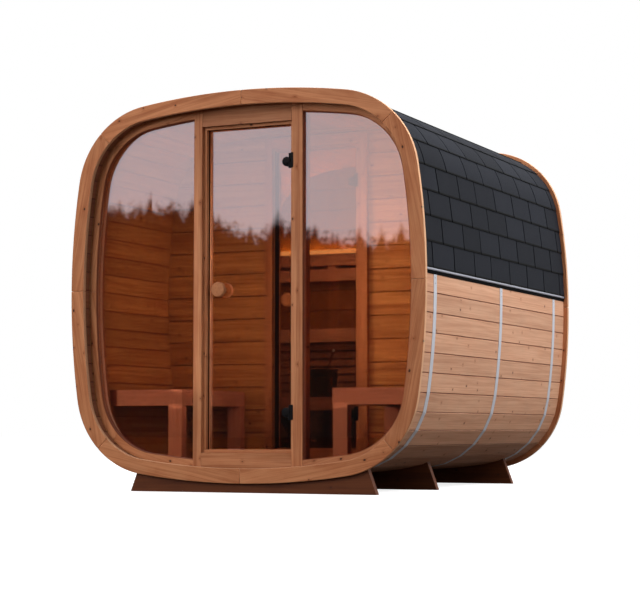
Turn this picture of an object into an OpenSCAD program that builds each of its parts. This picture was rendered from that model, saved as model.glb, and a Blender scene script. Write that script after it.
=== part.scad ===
// Garden sauna: a square barrel with rounded corners, closed by a glass front,
// with an open vestibule, a glass partition and a hot room behind it.
// Origin at the bottom centre of the whole building, +Z up, glass front facing -Y.

/* [Barrel] */
// Width of the end rings
barrel_w = 2316; // [2000:10:2600]
// Height of the end rings
barrel_h = 2300; // [2000:10:2600]
// Length over both end rings
barrel_l = 2678; // [2200:10:3400]
// Radius of the shallow arcs at top and bottom
crown_r = 4548; // [3500:50:6500]
// Radius of the shallow arcs at the sides
side_r = 4440; // [3500:50:6500]
// Radius of the ring's outer corners
corner_r = 524; // [430:10:640]

/* [End rings] */
// Radial width of a ring board
ring_w = 87; // [60:1:120]
// Thickness of a ring board
ring_t = 28; // [18:1:45]
// Step from the ring's outer edge down to the staves
ring_step = 30; // [24:1:45]

/* [Staves] */
// Thickness of a stave
stave_t = 45; // [28:1:60]
// Number of staves around the barrel
stave_count = 69; // [56:1:80]
// Distance of one stave joint below mid height on the right side
stave_phase = 66; // [0:1:110]

/* [Roof] */
// Height of the shingle covering above the staves
roof_t = 8; // [4:1:12]
// Height of the eave above mid height, measured along the staves
eave_rise = 74; // [20:1:300]
// Height of the eave strip
drip_h = 32; // [20:1:60]
// How far the eave strip stands off the staves
drip_t = 11; // [6:1:16]

/* [Steel straps] */
// Width of a strap
strap_w = 46; // [25:1:60]
// Height of a strap's outside above the staves
strap_t = 1.8; // [1:0.5:4]
// Centre of the first strap behind the front of the ring
strap_front = 222; // [120:1:400]
// Centre of the middle strap
strap_middle = 1351; // [1100:1:1500]
// Centre of the last strap, measured from the back of the barrel
strap_rear = 255; // [120:1:400]

/* [Cradles] */
// Height of the ring's lowest point above the ground
clearance_under = 53.5; // [30:0.5:120]
// Thickness of a cradle plank
cradle_t = 40; // [28:1:80]
// Reach of the cradles to the left
cradle_left = 745; // [600:5:950]
// Reach of the cradles to the right
cradle_right = 845; // [600:5:950]
// Inward lean of the cradle ends for each millimetre of height
cradle_lean = 0.37; // [0:0.01:0.7]
// Front face of the middle cradle behind the front of the ring
cradle_middle = 963; // [700:1:1250]
// Front face of the last cradle, measured from the back of the barrel
cradle_rear = 323; // [300:1:420]

/* [Glass front] */
// Depth of the recess in front of the frame
recess = 88; // [50:1:140]
// Depth of posts and frames, front to back
frame_d = 100; // [80:1:140]
// Radial width of the curved window frame
frame_w = 43; // [30:1:80]
// Thickness of all panes
glass_t = 8; // [6:1:12]
// Set-back of the side panes behind the frame's front
pane_set = 22; // [20:1:60]

/* [Doors] */
// Inner edge of the left post
latch_x = 304; // [250:1:360]
// Width of the left post
latch_post_w = 52; // [40:1:90]
// Inner edge of the right post
hinge_x = 289; // [250:1:360]
// Width of the right post
hinge_post_w = 69; // [40:1:90]
// Drop from the top of the ring to the underside of the header
header_drop = 185.5; // [180:0.5:400]
// Height of the header above the inner door
inner_header_h = 60; // [40:1:65]
// Top of the sill board above the ground
sill_z = 230; // [215:1:280]
// Width of the lining round the leaf
lining_w = 18; // [12:1:30]
// Set-back of the lining behind the posts
lining_set = 28; // [10:1:40]
// Set-back of the leaf behind the posts
leaf_set = 68; // [60:1:75]
// Gap between the leaf and the lining
leaf_gap = 8; // [7:0.5:14]
// Distance of the clamps from the leaf's top and bottom
clamp_in = 212; // [120:1:400]
// Radius of a round clamp
clamp_r = 28; // [20:1:32]
// Radius of a wooden knob
knob_r = 44; // [30:1:55]
// Centre of the knobs above the ground
knob_z = 1193; // [900:1:1300]
// Distance of the knobs from the leaf's free edge
knob_in = 76; // [60:1:150]
// Reach of each knob from the glass
knob_reach = 62; // [40:1:80]

/* [Inside] */
// Front face of the inner door's posts behind the front of the ring
partition_y = 1025; // [950:5:1200]
// Thickness of the partition and the rear wall
wall_t = 42; // [28:1:60]
// Recess of the rear wall in the back of the barrel
rear_recess = 88; // [50:1:140]
// Top of the floor above the ground
floor_z = 170; // [155:1:200]
// Thickness of the floor boards
floor_t = 28; // [20:1:40]

/* [Vestibule benches] */
// Distance of a bench's aisle side from the middle
bench_x = 497; // [460:1:560]
// Front of the benches behind the front of the ring
bench_y = 200; // [195:1:300]
// Top of the benches above the ground
bench_z = 607; // [520:1:680]
// Height of the aprons
apron_h = 97; // [60:1:130]
// Thickness of the aprons and bench boards
bench_t = 28; // [20:1:40]
// Width of a bench leg
leg_w = 94; // [60:1:110]
// Depth of a bench leg
leg_d = 60; // [40:1:90]

/* [Hot room] */
// Front of the upper bench behind the front of the ring
upper_y = 1950; // [1850:5:2050]
// Top of the upper bench above the ground
upper_z = 1056; // [950:1:1150]
// Front of the lower bench behind the front of the ring
lower_y = 1500; // [1400:5:1600]
// Top of the lower bench above the ground
lower_z = 577; // [520:1:640]
// Height of the benches' front boards
front_board_h = 90; // [60:1:120]
// Height of one slat below the upper bench
slat_h = 46; // [30:1:60]
// Gap between these slats
slat_gap = 9; // [5:1:20]
// Lower edge of the backrest above the ground
backrest_z = 1433; // [1350:1:1500]
// Height of a backrest board
backrest_h = 85; // [60:1:110]
// Gap between the backrest boards
backrest_gap = 25; // [15:1:40]
// Outer radius of the bucket at its rim
bucket_r = 116; // [80:1:140]
// Height of the bucket
bucket_h = 188; // [120:1:240]

/* [Hidden] */
$fn = 48;

// Seat clearance between pieces that only rest against each other
seat = 0.3;
// Running clearance between a hinge pin and its knuckle
pin_play = 0.1;

// Levels and stations
mid_z = clearance_under + barrel_h / 2;
header_z = clearance_under + barrel_h - header_drop;
front_y = -barrel_l / 2;
inner_depth = ring_step + stave_t;
stave_l = barrel_l - 2 * ring_t;
stave_y = front_y + ring_t;
frame_y = front_y + recess;
parting_y = front_y + partition_y;
wall_y = parting_y + (frame_d - wall_t) / 2;
rear_y = front_y + barrel_l - rear_recess - wall_t;
room_y = parting_y + frame_d + seat;

// Outline of the ring: the centre of its corner arc, found where the circles
// that the corner must touch from inside meet
crown_c = [0, barrel_h / 2 - crown_r];
side_c = [barrel_w / 2 - side_r, 0];
span = side_c - crown_c;
span_l = norm(span);
along = span / span_l;
foot = (span_l * span_l + pow(crown_r - corner_r, 2) - pow(side_r - corner_r, 2)) / (2 * span_l);
rise = sqrt(pow(crown_r - corner_r, 2) - foot * foot);
corner_c = crown_c + foot * along + rise * [along[1], -along[0]];
side_a = atan2(corner_c[1], corner_c[0] - side_c[0]);
crown_a = atan2(corner_c[0], corner_c[1] - crown_c[1]);
corner_a = 90 - side_a - crown_a;

// Lengths of the three arcs on the staves' outside, and of a whole quarter
side_s = (side_r - ring_step) * side_a * PI / 180;
corner_s = (corner_r - ring_step) * corner_a * PI / 180;
crown_s = (crown_r - ring_step) * crown_a * PI / 180;
quarter_s = side_s + corner_s + crown_s;
stave_w = 4 * quarter_s / stave_count;

// Sagitta of a stave's flat inside the corners, which round pieces must clear
flat_sag = (corner_r - inner_depth) * (1 - cos(stave_w / (corner_r - ring_step) * 90 / PI));

// A point at angle a on one arc, at a depth inside the ring's outer edge
function on_arc(c, r, a, depth) = c + (r - depth) * [cos(a), sin(a)];
// The same in the first quarter, with s measured from mid height
function quarter_at(s, depth) =
  s < side_s ? on_arc(side_c, side_r, s / side_s * side_a, depth) :
  s < side_s + corner_s ? on_arc(corner_c, corner_r, side_a + (s - side_s) / corner_s * corner_a, depth) :
  on_arc(crown_c, crown_r, 90 - crown_a + (s - side_s - corner_s) / crown_s * crown_a, depth);
// The same all the way round, counter-clockwise from mid height on the right
function wrap(s) = s - floor(s / (4 * quarter_s)) * 4 * quarter_s;
function folded(s) =
  let (q = floor(s / quarter_s), d = s - q * quarter_s) q % 2 == 0 ? d : quarter_s - d;
function quarter_sign(s) = let (q = floor(s / quarter_s)) [q == 0 || q == 3 ? 1 : -1, q < 2 ? 1 : -1];
function curve(s, depth) =
  let (w = wrap(s), p = quarter_at(folded(w), depth), g = quarter_sign(w)) [p[0] * g[0], p[1] * g[1] + mid_z];
// Stave joint number k, and a point on the staves' flats
function joint_s(k) = k * stave_w - stave_phase;
function flat(s, depth) =
  let (k = floor((s + stave_phase) / stave_w), t = (s + stave_phase) / stave_w - k)
  (1 - t) * curve(joint_s(k), depth) + t * curve(joint_s(k + 1), depth);
function first_joint(s) = ceil((s + stave_phase) / stave_w - 0.001);
function last_joint(s) = floor((s + stave_phase) / stave_w + 0.001);
function nearest_joint(s) = round((s + stave_phase) / stave_w);

// Points along the flats from s0 to s1 with every joint between them
function flat_run(s0, s1, depth) = concat(
  [flat(s0, depth)],
  [for (k = [first_joint(s0 + 1) : last_joint(s1 - 1)]) curve(joint_s(k), depth)],
  [flat(s1, depth)]
);
// Points along the smooth outline
arc_step = 26;
function curve_run(s0, s1, depth) =
  let (n = max(2, ceil((s1 - s0) / arc_step))) [for (i = [0 : n]) curve(s0 + (s1 - s0) * i / n, depth)];
function reversed(list) = [for (i = [len(list) - 1 : -1 : 0]) list[i]];

// Everything inside the staves' inner faces, less a clearance
module inside(clear) {
  polygon([for (k = [0 : stave_count - 1]) curve(joint_s(k), inner_depth + clear)]);
}

// Everything inside the staves' outer faces
module outside() {
  polygon([for (k = [0 : stave_count - 1]) curve(joint_s(k), ring_step)]);
}

// Everything inside a smooth line that clears the staves' flats
module inside_smooth(clear) {
  polygon(curve_run(0, 4 * quarter_s - arc_step, inner_depth + flat_sag + clear));
}

// Stands a drawing in X and Z up, from y0 to y0 + t
module upright(y0, t) {
  translate([0, y0 + t, 0])
    rotate([90, 0, 0])
      linear_extrude(t)
        children();
}

// The same, trimmed to fit inside the staves
module fitted(y0, t) {
  upright(y0, t)
    intersection() {
      inside(seat);
      union()
        children();
    }
}

// A rectangle between two X and two Z values
module span_box(x0, x1, z0, z1) {
  translate([x0, z0])
    square([x1 - x0, z1 - z0]);
}

// A block between two corners
module block(a, b) {
  translate(a)
    cube(b - a);
}

// ---- Barrel ----

module cradle(y0) {
  top_z = mid_z - barrel_h / 2 + 150;
  upright(y0, cradle_t)
    difference() {
      polygon([
        [-cradle_left, 0],
        [cradle_right, 0],
        [cradle_right - cradle_lean * top_z, top_z],
        [cradle_lean * top_z - cradle_left, top_z],
      ]);
      outside();
    }
}

module cradles() {
  color("saddlebrown") {
    cradle(stave_y + 2);
    cradle(front_y + cradle_middle);
    cradle(front_y + barrel_l - cradle_rear);
  }
}

// Staves from joint k0 to joint k1 as one run of flats
module stave_run(k0, k1) {
  color("burlywood")
    upright(stave_y, stave_l)
      polygon(concat(
        [for (k = [k0 : k1]) curve(joint_s(k), ring_step)],
        [for (k = [k1 : -1 : k0]) curve(joint_s(k), inner_depth)]
      ));
}

// Joints where the straight sides, the corners and the crown part
k_right_low = nearest_joint(-side_s);
k_right_high = nearest_joint(side_s);
k_top_right = nearest_joint(side_s + corner_s);
k_top_left = nearest_joint(2 * quarter_s - side_s - corner_s);
k_left_high = nearest_joint(2 * quarter_s - side_s);
k_left_low = nearest_joint(2 * quarter_s + side_s);
k_bottom_left = nearest_joint(2 * quarter_s + side_s + corner_s);
k_bottom_right = nearest_joint(4 * quarter_s - side_s - corner_s);

module shell_right() {
  stave_run(k_right_low, k_right_high);
}

module shell_left() {
  stave_run(k_left_high, k_left_low);
}

module shell_top() {
  stave_run(k_top_right, k_top_left);
}

module shell_bottom() {
  stave_run(k_bottom_left, k_bottom_right);
}

module shell_corners_top() {
  stave_run(k_right_high, k_top_right);
  stave_run(k_top_left, k_left_high);
}

module shell_corners_bottom() {
  stave_run(k_left_low, k_bottom_left);
  stave_run(k_bottom_right, k_right_low + stave_count);
}

// Segment number i of a ring runs between a mid joint and a corner joint
ring_joint = [0, side_s + corner_s / 2];
function ring_s(i) =
  let (q = floor(i / 2)) i % 2 == 0 ? q * quarter_s :
  q * quarter_s + (q % 2 == 0 ? ring_joint[1] : quarter_s - ring_joint[1]);

module ring_segment(i, y0) {
  color("sienna")
    upright(y0, ring_t)
      polygon(concat(
        curve_run(ring_s(i), ring_s(i + 1), 0),
        reversed(curve_run(ring_s(i), ring_s(i + 1), ring_w))
      ));
}

module ring_half(start, y0) {
  for (i = [start : 2 : 7])
    ring_segment(i, y0);
}

module front_ring_a() {
  ring_half(0, front_y);
}

module front_ring_b() {
  ring_half(1, front_y);
}

module rear_ring_a() {
  ring_half(0, front_y + barrel_l - ring_t);
}

module rear_ring_b() {
  ring_half(1, front_y + barrel_l - ring_t);
}

// ---- Roof and straps ----

// A layer on the staves from s0 to s1, its outside t above them
module layer(s0, s1, t) {
  polygon(concat(flat_run(s0, s1, ring_step - t), reversed(flat_run(s0, s1, ring_step - seat))));
}

module roof_right() {
  color("dimgray")
    upright(stave_y, stave_l)
      layer(eave_rise, quarter_s, roof_t);
}

module roof_left() {
  color("dimgray")
    upright(stave_y, stave_l)
      layer(quarter_s, 2 * quarter_s - eave_rise, roof_t);
}

module eave_strips() {
  color("slategray")
    upright(stave_y, stave_l) {
      layer(eave_rise - drip_h, eave_rise, drip_t);
      layer(2 * quarter_s - eave_rise, 2 * quarter_s - eave_rise + drip_h, drip_t);
    }
}

module strap(y_mid) {
  upright(y_mid - strap_w / 2, strap_w)
    layer(2 * quarter_s - eave_rise + drip_h, 4 * quarter_s + eave_rise - drip_h, strap_t);
}

module steel_straps() {
  color("silver") {
    strap(front_y + strap_front);
    strap(front_y + strap_middle);
    strap(front_y + barrel_l - strap_rear);
  }
}

// ---- Glass front ----

post_left = -latch_x - latch_post_w;
post_right = hinge_x + hinge_post_w;

module post_pair(y0, z0, z1) {
  color("peru")
    fitted(y0, frame_d) {
      span_box(post_left, -latch_x, z0, z1);
      span_box(hinge_x, post_right, z0, z1);
    }
}

module front_posts() {
  post_pair(frame_y, 0, mid_z + barrel_h);
}

module front_header() {
  color("peru")
    fitted(frame_y, frame_d)
      span_box(-latch_x, hinge_x, header_z, mid_z + barrel_h);
}

module front_sill() {
  color("peru")
    fitted(frame_y, frame_d)
      span_box(-latch_x, hinge_x, 0, sill_z);
}

// Four bars round a leaf, their ends a hair apart
lining_x0 = -latch_x;
lining_x1 = hinge_x;
module lining(y0) {
  color("peru")
    upright(y0 + lining_set, frame_d - lining_set) {
      span_box(lining_x0, lining_x0 + lining_w, sill_z + lining_w + seat, header_z - lining_w - seat);
      span_box(lining_x1 - lining_w, lining_x1, sill_z + lining_w + seat, header_z - lining_w - seat);
      span_box(lining_x0, lining_x1, header_z - lining_w, header_z);
      span_box(lining_x0, lining_x1, sill_z, sill_z + lining_w);
    }
}

module front_lining() {
  lining(frame_y);
}

// One side of the front beyond the posts
module beyond_posts(side) {
  if (side < 0)
    span_box(-barrel_w, post_left, 0, mid_z + barrel_h);
  else
    span_box(post_right, barrel_w, 0, mid_z + barrel_h);
}

module window_frames() {
  color("peru")
    for (side = [-1, 1])
      upright(frame_y, frame_d)
        intersection() {
          difference() {
            inside_smooth(seat);
            inside_smooth(frame_w);
          }
          beyond_posts(side);
        }
}

module window_glass() {
  color("rosybrown", 0.4)
    for (side = [-1, 1])
      upright(frame_y + pane_set, glass_t)
        intersection() {
          inside_smooth(frame_w + seat);
          translate([side * seat, 0])
            beyond_posts(side);
        }
}

// ---- Doors: the outer and the inner leaf are alike, at different depths ----

leaf_x0 = lining_x0 + lining_w + leaf_gap;
leaf_x1 = lining_x1 - lining_w - leaf_gap;
leaf_z0 = sill_z + lining_w + leaf_gap / 2 + 1;
leaf_z1 = header_z - lining_w - leaf_gap / 2 - 1;
clamp_z = [leaf_z0 + clamp_in, leaf_z1 - clamp_in];
clamp_x = leaf_x1 - clamp_r - 1;
clamp_t = 28;
back_clamp_t = 6;
pin_r = 3.5;
knuckle_r = 6;
knuckle_h = 28;
hinge_h = 88;
hinge_plate_t = 4;
hinge_plate_w = 21;
pin_x = hinge_x - lining_w - 5;
pin_y = 20;
arm_h = 26;

module leaf(y0) {
  color("rosybrown", 0.4)
    block([leaf_x0, y0 + leaf_set, leaf_z0], [leaf_x1, y0 + leaf_set + glass_t, leaf_z1]);
}

// A turned knob on a neck, standing off the face at y = 0 towards -Y
module knob() {
  rotate([90, 0, 0]) {
    cylinder(h = knob_reach - 26, r = knob_r * 0.42);
    translate([0, 0, knob_reach - 30])
      cylinder(h = 30, r = knob_r);
  }
}

module knobs(y0) {
  color("burlywood")
    translate([leaf_x0 + knob_in, y0 + leaf_set, knob_z]) {
      knob();
      translate([0, glass_t, 0])
        mirror([0, 1, 0])
          knob();
    }
}

// The part of a hinge that turns: a round clamp, an arm and a bored knuckle
module clamp_front(y0) {
  difference() {
    union() {
      translate([clamp_x, y0 + leaf_set, 0])
        rotate([90, 0, 0])
          cylinder(h = clamp_t, r = clamp_r);
      block(
        [clamp_x, y0 + pin_y - knuckle_r, -arm_h / 2],
        [pin_x, y0 + leaf_set - clamp_t + 1, arm_h / 2]
      );
      translate([pin_x, y0 + pin_y, -knuckle_h / 2])
        cylinder(h = knuckle_h, r = knuckle_r);
    }
    translate([pin_x, y0 + pin_y, -knuckle_h])
      cylinder(h = 2 * knuckle_h, r = pin_r + pin_play);
  }
}

module clamps(y0) {
  color("black")
    for (z = clamp_z)
      translate([0, 0, z]) {
        clamp_front(y0);
        translate([clamp_x, y0 + leaf_set + glass_t + back_clamp_t, 0])
          rotate([90, 0, 0])
            cylinder(h = back_clamp_t, r = clamp_r);
      }
}

// The part of a hinge that stays: a plate on the post, an arm, two knuckles and the pin
module hinge(y0) {
  plate_x1 = hinge_x + hinge_plate_w - 8;
  block([hinge_x - 8, y0 - hinge_plate_t, -hinge_h / 2], [plate_x1, y0, hinge_h / 2]);
  block([hinge_x - 5, y0 - hinge_plate_t, -hinge_h / 2], [hinge_x, y0 + lining_set, hinge_h / 2]);
  for (side = [-1, 1]) {
    lo = side < 0 ? -hinge_h / 2 : knuckle_h / 2 + seat;
    hi = side < 0 ? -knuckle_h / 2 - seat : hinge_h / 2;
    block([pin_x, y0 + pin_y - 4, lo], [hinge_x - 4, y0 + pin_y + 4, hi]);
    translate([pin_x, y0 + pin_y, lo])
      cylinder(h = hi - lo, r = knuckle_r);
  }
  translate([pin_x, y0 + pin_y, -hinge_h / 2])
    cylinder(h = hinge_h, r = pin_r);
}

module door_hinges() {
  color("black")
    for (y0 = [frame_y, parting_y])
      for (z = clamp_z)
        translate([0, 0, z])
          hinge(y0);
}

module outer_door_glass() {
  leaf(frame_y);
}

module outer_door_knobs() {
  knobs(frame_y);
}

module outer_door_clamps() {
  clamps(frame_y);
}

module inner_door_glass() {
  leaf(parting_y);
}

module inner_door_knobs() {
  knobs(parting_y);
}

module inner_door_clamps() {
  clamps(parting_y);
}

// ---- Partition, rear wall and floors ----

inner_top_z = header_z + inner_header_h;

module inner_posts() {
  post_pair(parting_y, 0, inner_top_z);
}

module inner_header() {
  color("peru")
    upright(parting_y, frame_d)
      span_box(-latch_x, hinge_x, header_z, inner_top_z);
}

module inner_sill() {
  color("peru")
    fitted(parting_y, frame_d)
      span_box(-latch_x, hinge_x, 0, sill_z);
}

module inner_lining() {
  lining(parting_y);
}

module partition_left() {
  color("chocolate")
    fitted(wall_y, wall_t)
      beyond_posts(-1);
}

module partition_right() {
  color("chocolate")
    fitted(wall_y, wall_t)
      beyond_posts(1);
}

module partition_top() {
  color("chocolate")
    fitted(wall_y, wall_t)
      span_box(post_left, post_right, inner_top_z, mid_z + barrel_h);
}

module rear_wall() {
  color("chocolate")
    upright(rear_y, wall_t)
      inside(seat);
}

module floor_deck(y0, y1) {
  color("tan")
    fitted(y0, y1 - y0)
      span_box(-barrel_w, barrel_w, floor_z - floor_t, floor_z);
}

module vestibule_floor() {
  floor_deck(frame_y + frame_d + seat, parting_y - seat);
}

module hot_room_floor() {
  floor_deck(room_y, rear_y - seat);
}

// ---- Vestibule benches ----

bench_y0 = front_y + bench_y;
bench_y1 = parting_y - seat;

// A rectangle between two distances from the middle, on one side
module side_box(side, x0, x1, z0, z1) {
  if (side < 0)
    span_box(-x1, -x0, z0, z1);
  else
    span_box(x0, x1, z0, z1);
}

// The bench on one side, against the staves
module bench(side) {
  color("rosybrown") {
    fitted(bench_y0, bench_y1 - bench_y0)
      side_box(side, bench_x, barrel_w, bench_z - bench_t, bench_z);
    fitted(bench_y0, bench_t)
      side_box(side, bench_x, barrel_w, bench_z - apron_h, bench_z);
    fitted(bench_y0, bench_y1 - bench_y0)
      side_box(side, bench_x, bench_x + bench_t, bench_z - apron_h, bench_z);
    for (y = [bench_y0, bench_y1 - leg_d])
      fitted(y, leg_d)
        side_box(side, bench_x, bench_x + leg_w, floor_z, bench_z - bench_t / 2);
  }
}

module vestibule_bench_right() {
  bench(1);
}

module vestibule_bench_left() {
  bench(-1);
}

// ---- Hot room ----

upper_y0 = front_y + upper_y;
lower_y0 = front_y + lower_y;
slat_pitch = slat_h + slat_gap;
skirt_n = floor((upper_z - front_board_h - lower_z) / slat_pitch);
slat_t = 22;
batten_x = 560;
batten_w = 60;
batten_t = 37;
bite = 1;
skirt_back = upper_y0 + slat_t - bite + batten_t;

// Two upright battens
module batten_pair(z0, z1) {
  for (side = [-1, 1])
    span_box(side * batten_x - batten_w / 2, side * batten_x + batten_w / 2, z0, z1);
}

// A board across the room, from wall to wall
module cross_board(y0, t, z0, z1) {
  fitted(y0, t)
    span_box(-barrel_w, barrel_w, z0, z1);
}

module upper_bench() {
  color("tan") {
    cross_board(upper_y0, rear_y - seat - upper_y0, upper_z - bench_t, upper_z);
    cross_board(upper_y0, bench_t, upper_z - front_board_h, upper_z);
    for (i = [1 : skirt_n])
      cross_board(
        upper_y0, slat_t,
        upper_z - front_board_h - i * slat_pitch, upper_z - front_board_h - i * slat_pitch + slat_h
      );
    fitted(upper_y0 + slat_t - bite, batten_t)
      batten_pair(lower_z, upper_z - bench_t / 2);
  }
}

module lower_bench() {
  color("tan") {
    cross_board(lower_y0, skirt_back - lower_y0, lower_z - bench_t, lower_z - seat);
    cross_board(lower_y0, bench_t, lower_z - front_board_h + 8, lower_z - seat);
    fitted(lower_y0 + bench_t - bite, batten_t)
      batten_pair(floor_z, lower_z - bench_t / 2);
  }
}

rest_t = 24;
rest_off = 50;

module backrest() {
  color("tan") {
    for (i = [0, 1])
      cross_board(
        rear_y - seat - rest_off - rest_t, rest_t,
        backrest_z + i * (backrest_h + backrest_gap),
        backrest_z + i * (backrest_h + backrest_gap) + backrest_h
      );
    for (side = [-1, 0, 1])
      block(
        [side * batten_x - batten_w / 2, rear_y - seat - rest_off - 1, backrest_z],
        [side * batten_x + batten_w / 2, rear_y - seat, backrest_z + 2 * backrest_h + backrest_gap]
      );
  }
}

bucket_x = -244;
bucket_y = 1640;
bucket_wall = 12;
rim_h = 14;

module bucket() {
  color("black")
    translate([bucket_x, front_y + bucket_y, lower_z])
      rotate_extrude()
        polygon([
          [0, 0],
          [bucket_r - 14, 0],
          [bucket_r - 5, bucket_h - rim_h],
          [bucket_r, bucket_h - rim_h],
          [bucket_r, bucket_h],
          [bucket_r - bucket_wall, bucket_h],
          [bucket_r - 14 - bucket_wall, bucket_wall],
          [0, bucket_wall],
        ]);
}

// Lean of the ladle's handle to the right
ladle_lean = 21;
ladle_l = 330;
ladle_r = 9;

module ladle() {
  color("burlywood")
    translate([bucket_x - 20, front_y + bucket_y, lower_z + bucket_wall + seat + ladle_r * sin(ladle_lean)])
      rotate([0, ladle_lean, 0])
        cylinder(h = ladle_l, r = ladle_r);
}

cradles();
shell_right();
shell_left();
shell_top();
shell_bottom();
shell_corners_top();
shell_corners_bottom();
front_ring_a();
front_ring_b();
rear_ring_a();
rear_ring_b();
steel_straps();
roof_right();
roof_left();
eave_strips();
front_posts();
front_header();
front_sill();
front_lining();
window_frames();
window_glass();
outer_door_glass();
outer_door_knobs();
outer_door_clamps();
door_hinges();
inner_posts();
inner_header();
inner_sill();
inner_lining();
partition_left();
partition_right();
partition_top();
inner_door_glass();
inner_door_knobs();
inner_door_clamps();
rear_wall();
vestibule_floor();
hot_room_floor();
vestibule_bench_left();
vestibule_bench_right();
upper_bench();
lower_bench();
backrest();
bucket();
ladle();
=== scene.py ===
import math
import random

import bmesh
import bpy
from mathutils import Matrix, Vector


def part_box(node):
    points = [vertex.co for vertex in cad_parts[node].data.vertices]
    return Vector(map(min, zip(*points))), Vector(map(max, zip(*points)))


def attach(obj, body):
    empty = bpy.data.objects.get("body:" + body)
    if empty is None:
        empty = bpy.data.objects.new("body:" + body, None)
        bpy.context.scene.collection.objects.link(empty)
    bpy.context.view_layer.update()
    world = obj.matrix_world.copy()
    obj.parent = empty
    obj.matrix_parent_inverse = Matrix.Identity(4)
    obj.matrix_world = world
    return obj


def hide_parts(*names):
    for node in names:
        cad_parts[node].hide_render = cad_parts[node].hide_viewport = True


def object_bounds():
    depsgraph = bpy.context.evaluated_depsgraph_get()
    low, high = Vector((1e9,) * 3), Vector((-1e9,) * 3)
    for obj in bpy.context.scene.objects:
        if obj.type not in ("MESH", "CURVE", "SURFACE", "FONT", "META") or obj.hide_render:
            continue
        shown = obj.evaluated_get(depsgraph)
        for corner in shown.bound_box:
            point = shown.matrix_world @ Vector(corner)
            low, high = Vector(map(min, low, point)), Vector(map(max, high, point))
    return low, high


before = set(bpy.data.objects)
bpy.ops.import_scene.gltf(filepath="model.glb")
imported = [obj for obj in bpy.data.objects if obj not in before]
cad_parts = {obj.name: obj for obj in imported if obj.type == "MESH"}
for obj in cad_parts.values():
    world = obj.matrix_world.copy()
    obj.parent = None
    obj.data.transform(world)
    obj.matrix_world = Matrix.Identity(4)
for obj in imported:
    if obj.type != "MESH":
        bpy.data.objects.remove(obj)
cadLow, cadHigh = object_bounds()
print("frame loaded")


def srgb(*values):
    parts = [value / 255 for value in values]
    return (*(c / 12.92 if c <= 0.04045 else ((c + 0.055) / 1.055) ** 2.4 for c in parts), 1.0)


view = {"lens": 101.72, "sensor": 36, "place": (4.8415, -10.6567, 0.3705), "pitch": 4.1035, "yaw": 24.924}


def addCamera():
    data = bpy.data.cameras.new("camera")
    data.lens, data.sensor_width = view["lens"], view["sensor"]
    camera = bpy.data.objects.new("camera", data)
    camera.location = view["place"]
    camera.rotation_euler = (math.radians(90 + view["pitch"]), 0, math.radians(view["yaw"]))
    bpy.context.scene.collection.objects.link(camera)
    bpy.context.scene.camera = camera


addCamera()
bpy.context.scene.view_settings.view_transform = "Standard"


def operator(name, swapped=False):
    def apply(self, other):
        return self.maker.func(name, *((other, self) if swapped else (self, other)))

    return apply


class Wire:  # an output socket that can be used in an expression
    def __init__(self, maker, socket):
        self.maker, self.socket = maker, socket

    def __getitem__(self, name):
        return Wire(self.maker, self.socket.node.outputs[name])

    __add__, __radd__ = operator("ADD"), operator("ADD", True)
    __sub__, __rsub__ = operator("SUBTRACT"), operator("SUBTRACT", True)
    __mul__, __rmul__ = operator("MULTIPLY"), operator("MULTIPLY", True)
    __truediv__, __pow__ = operator("DIVIDE"), operator("POWER")


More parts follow.
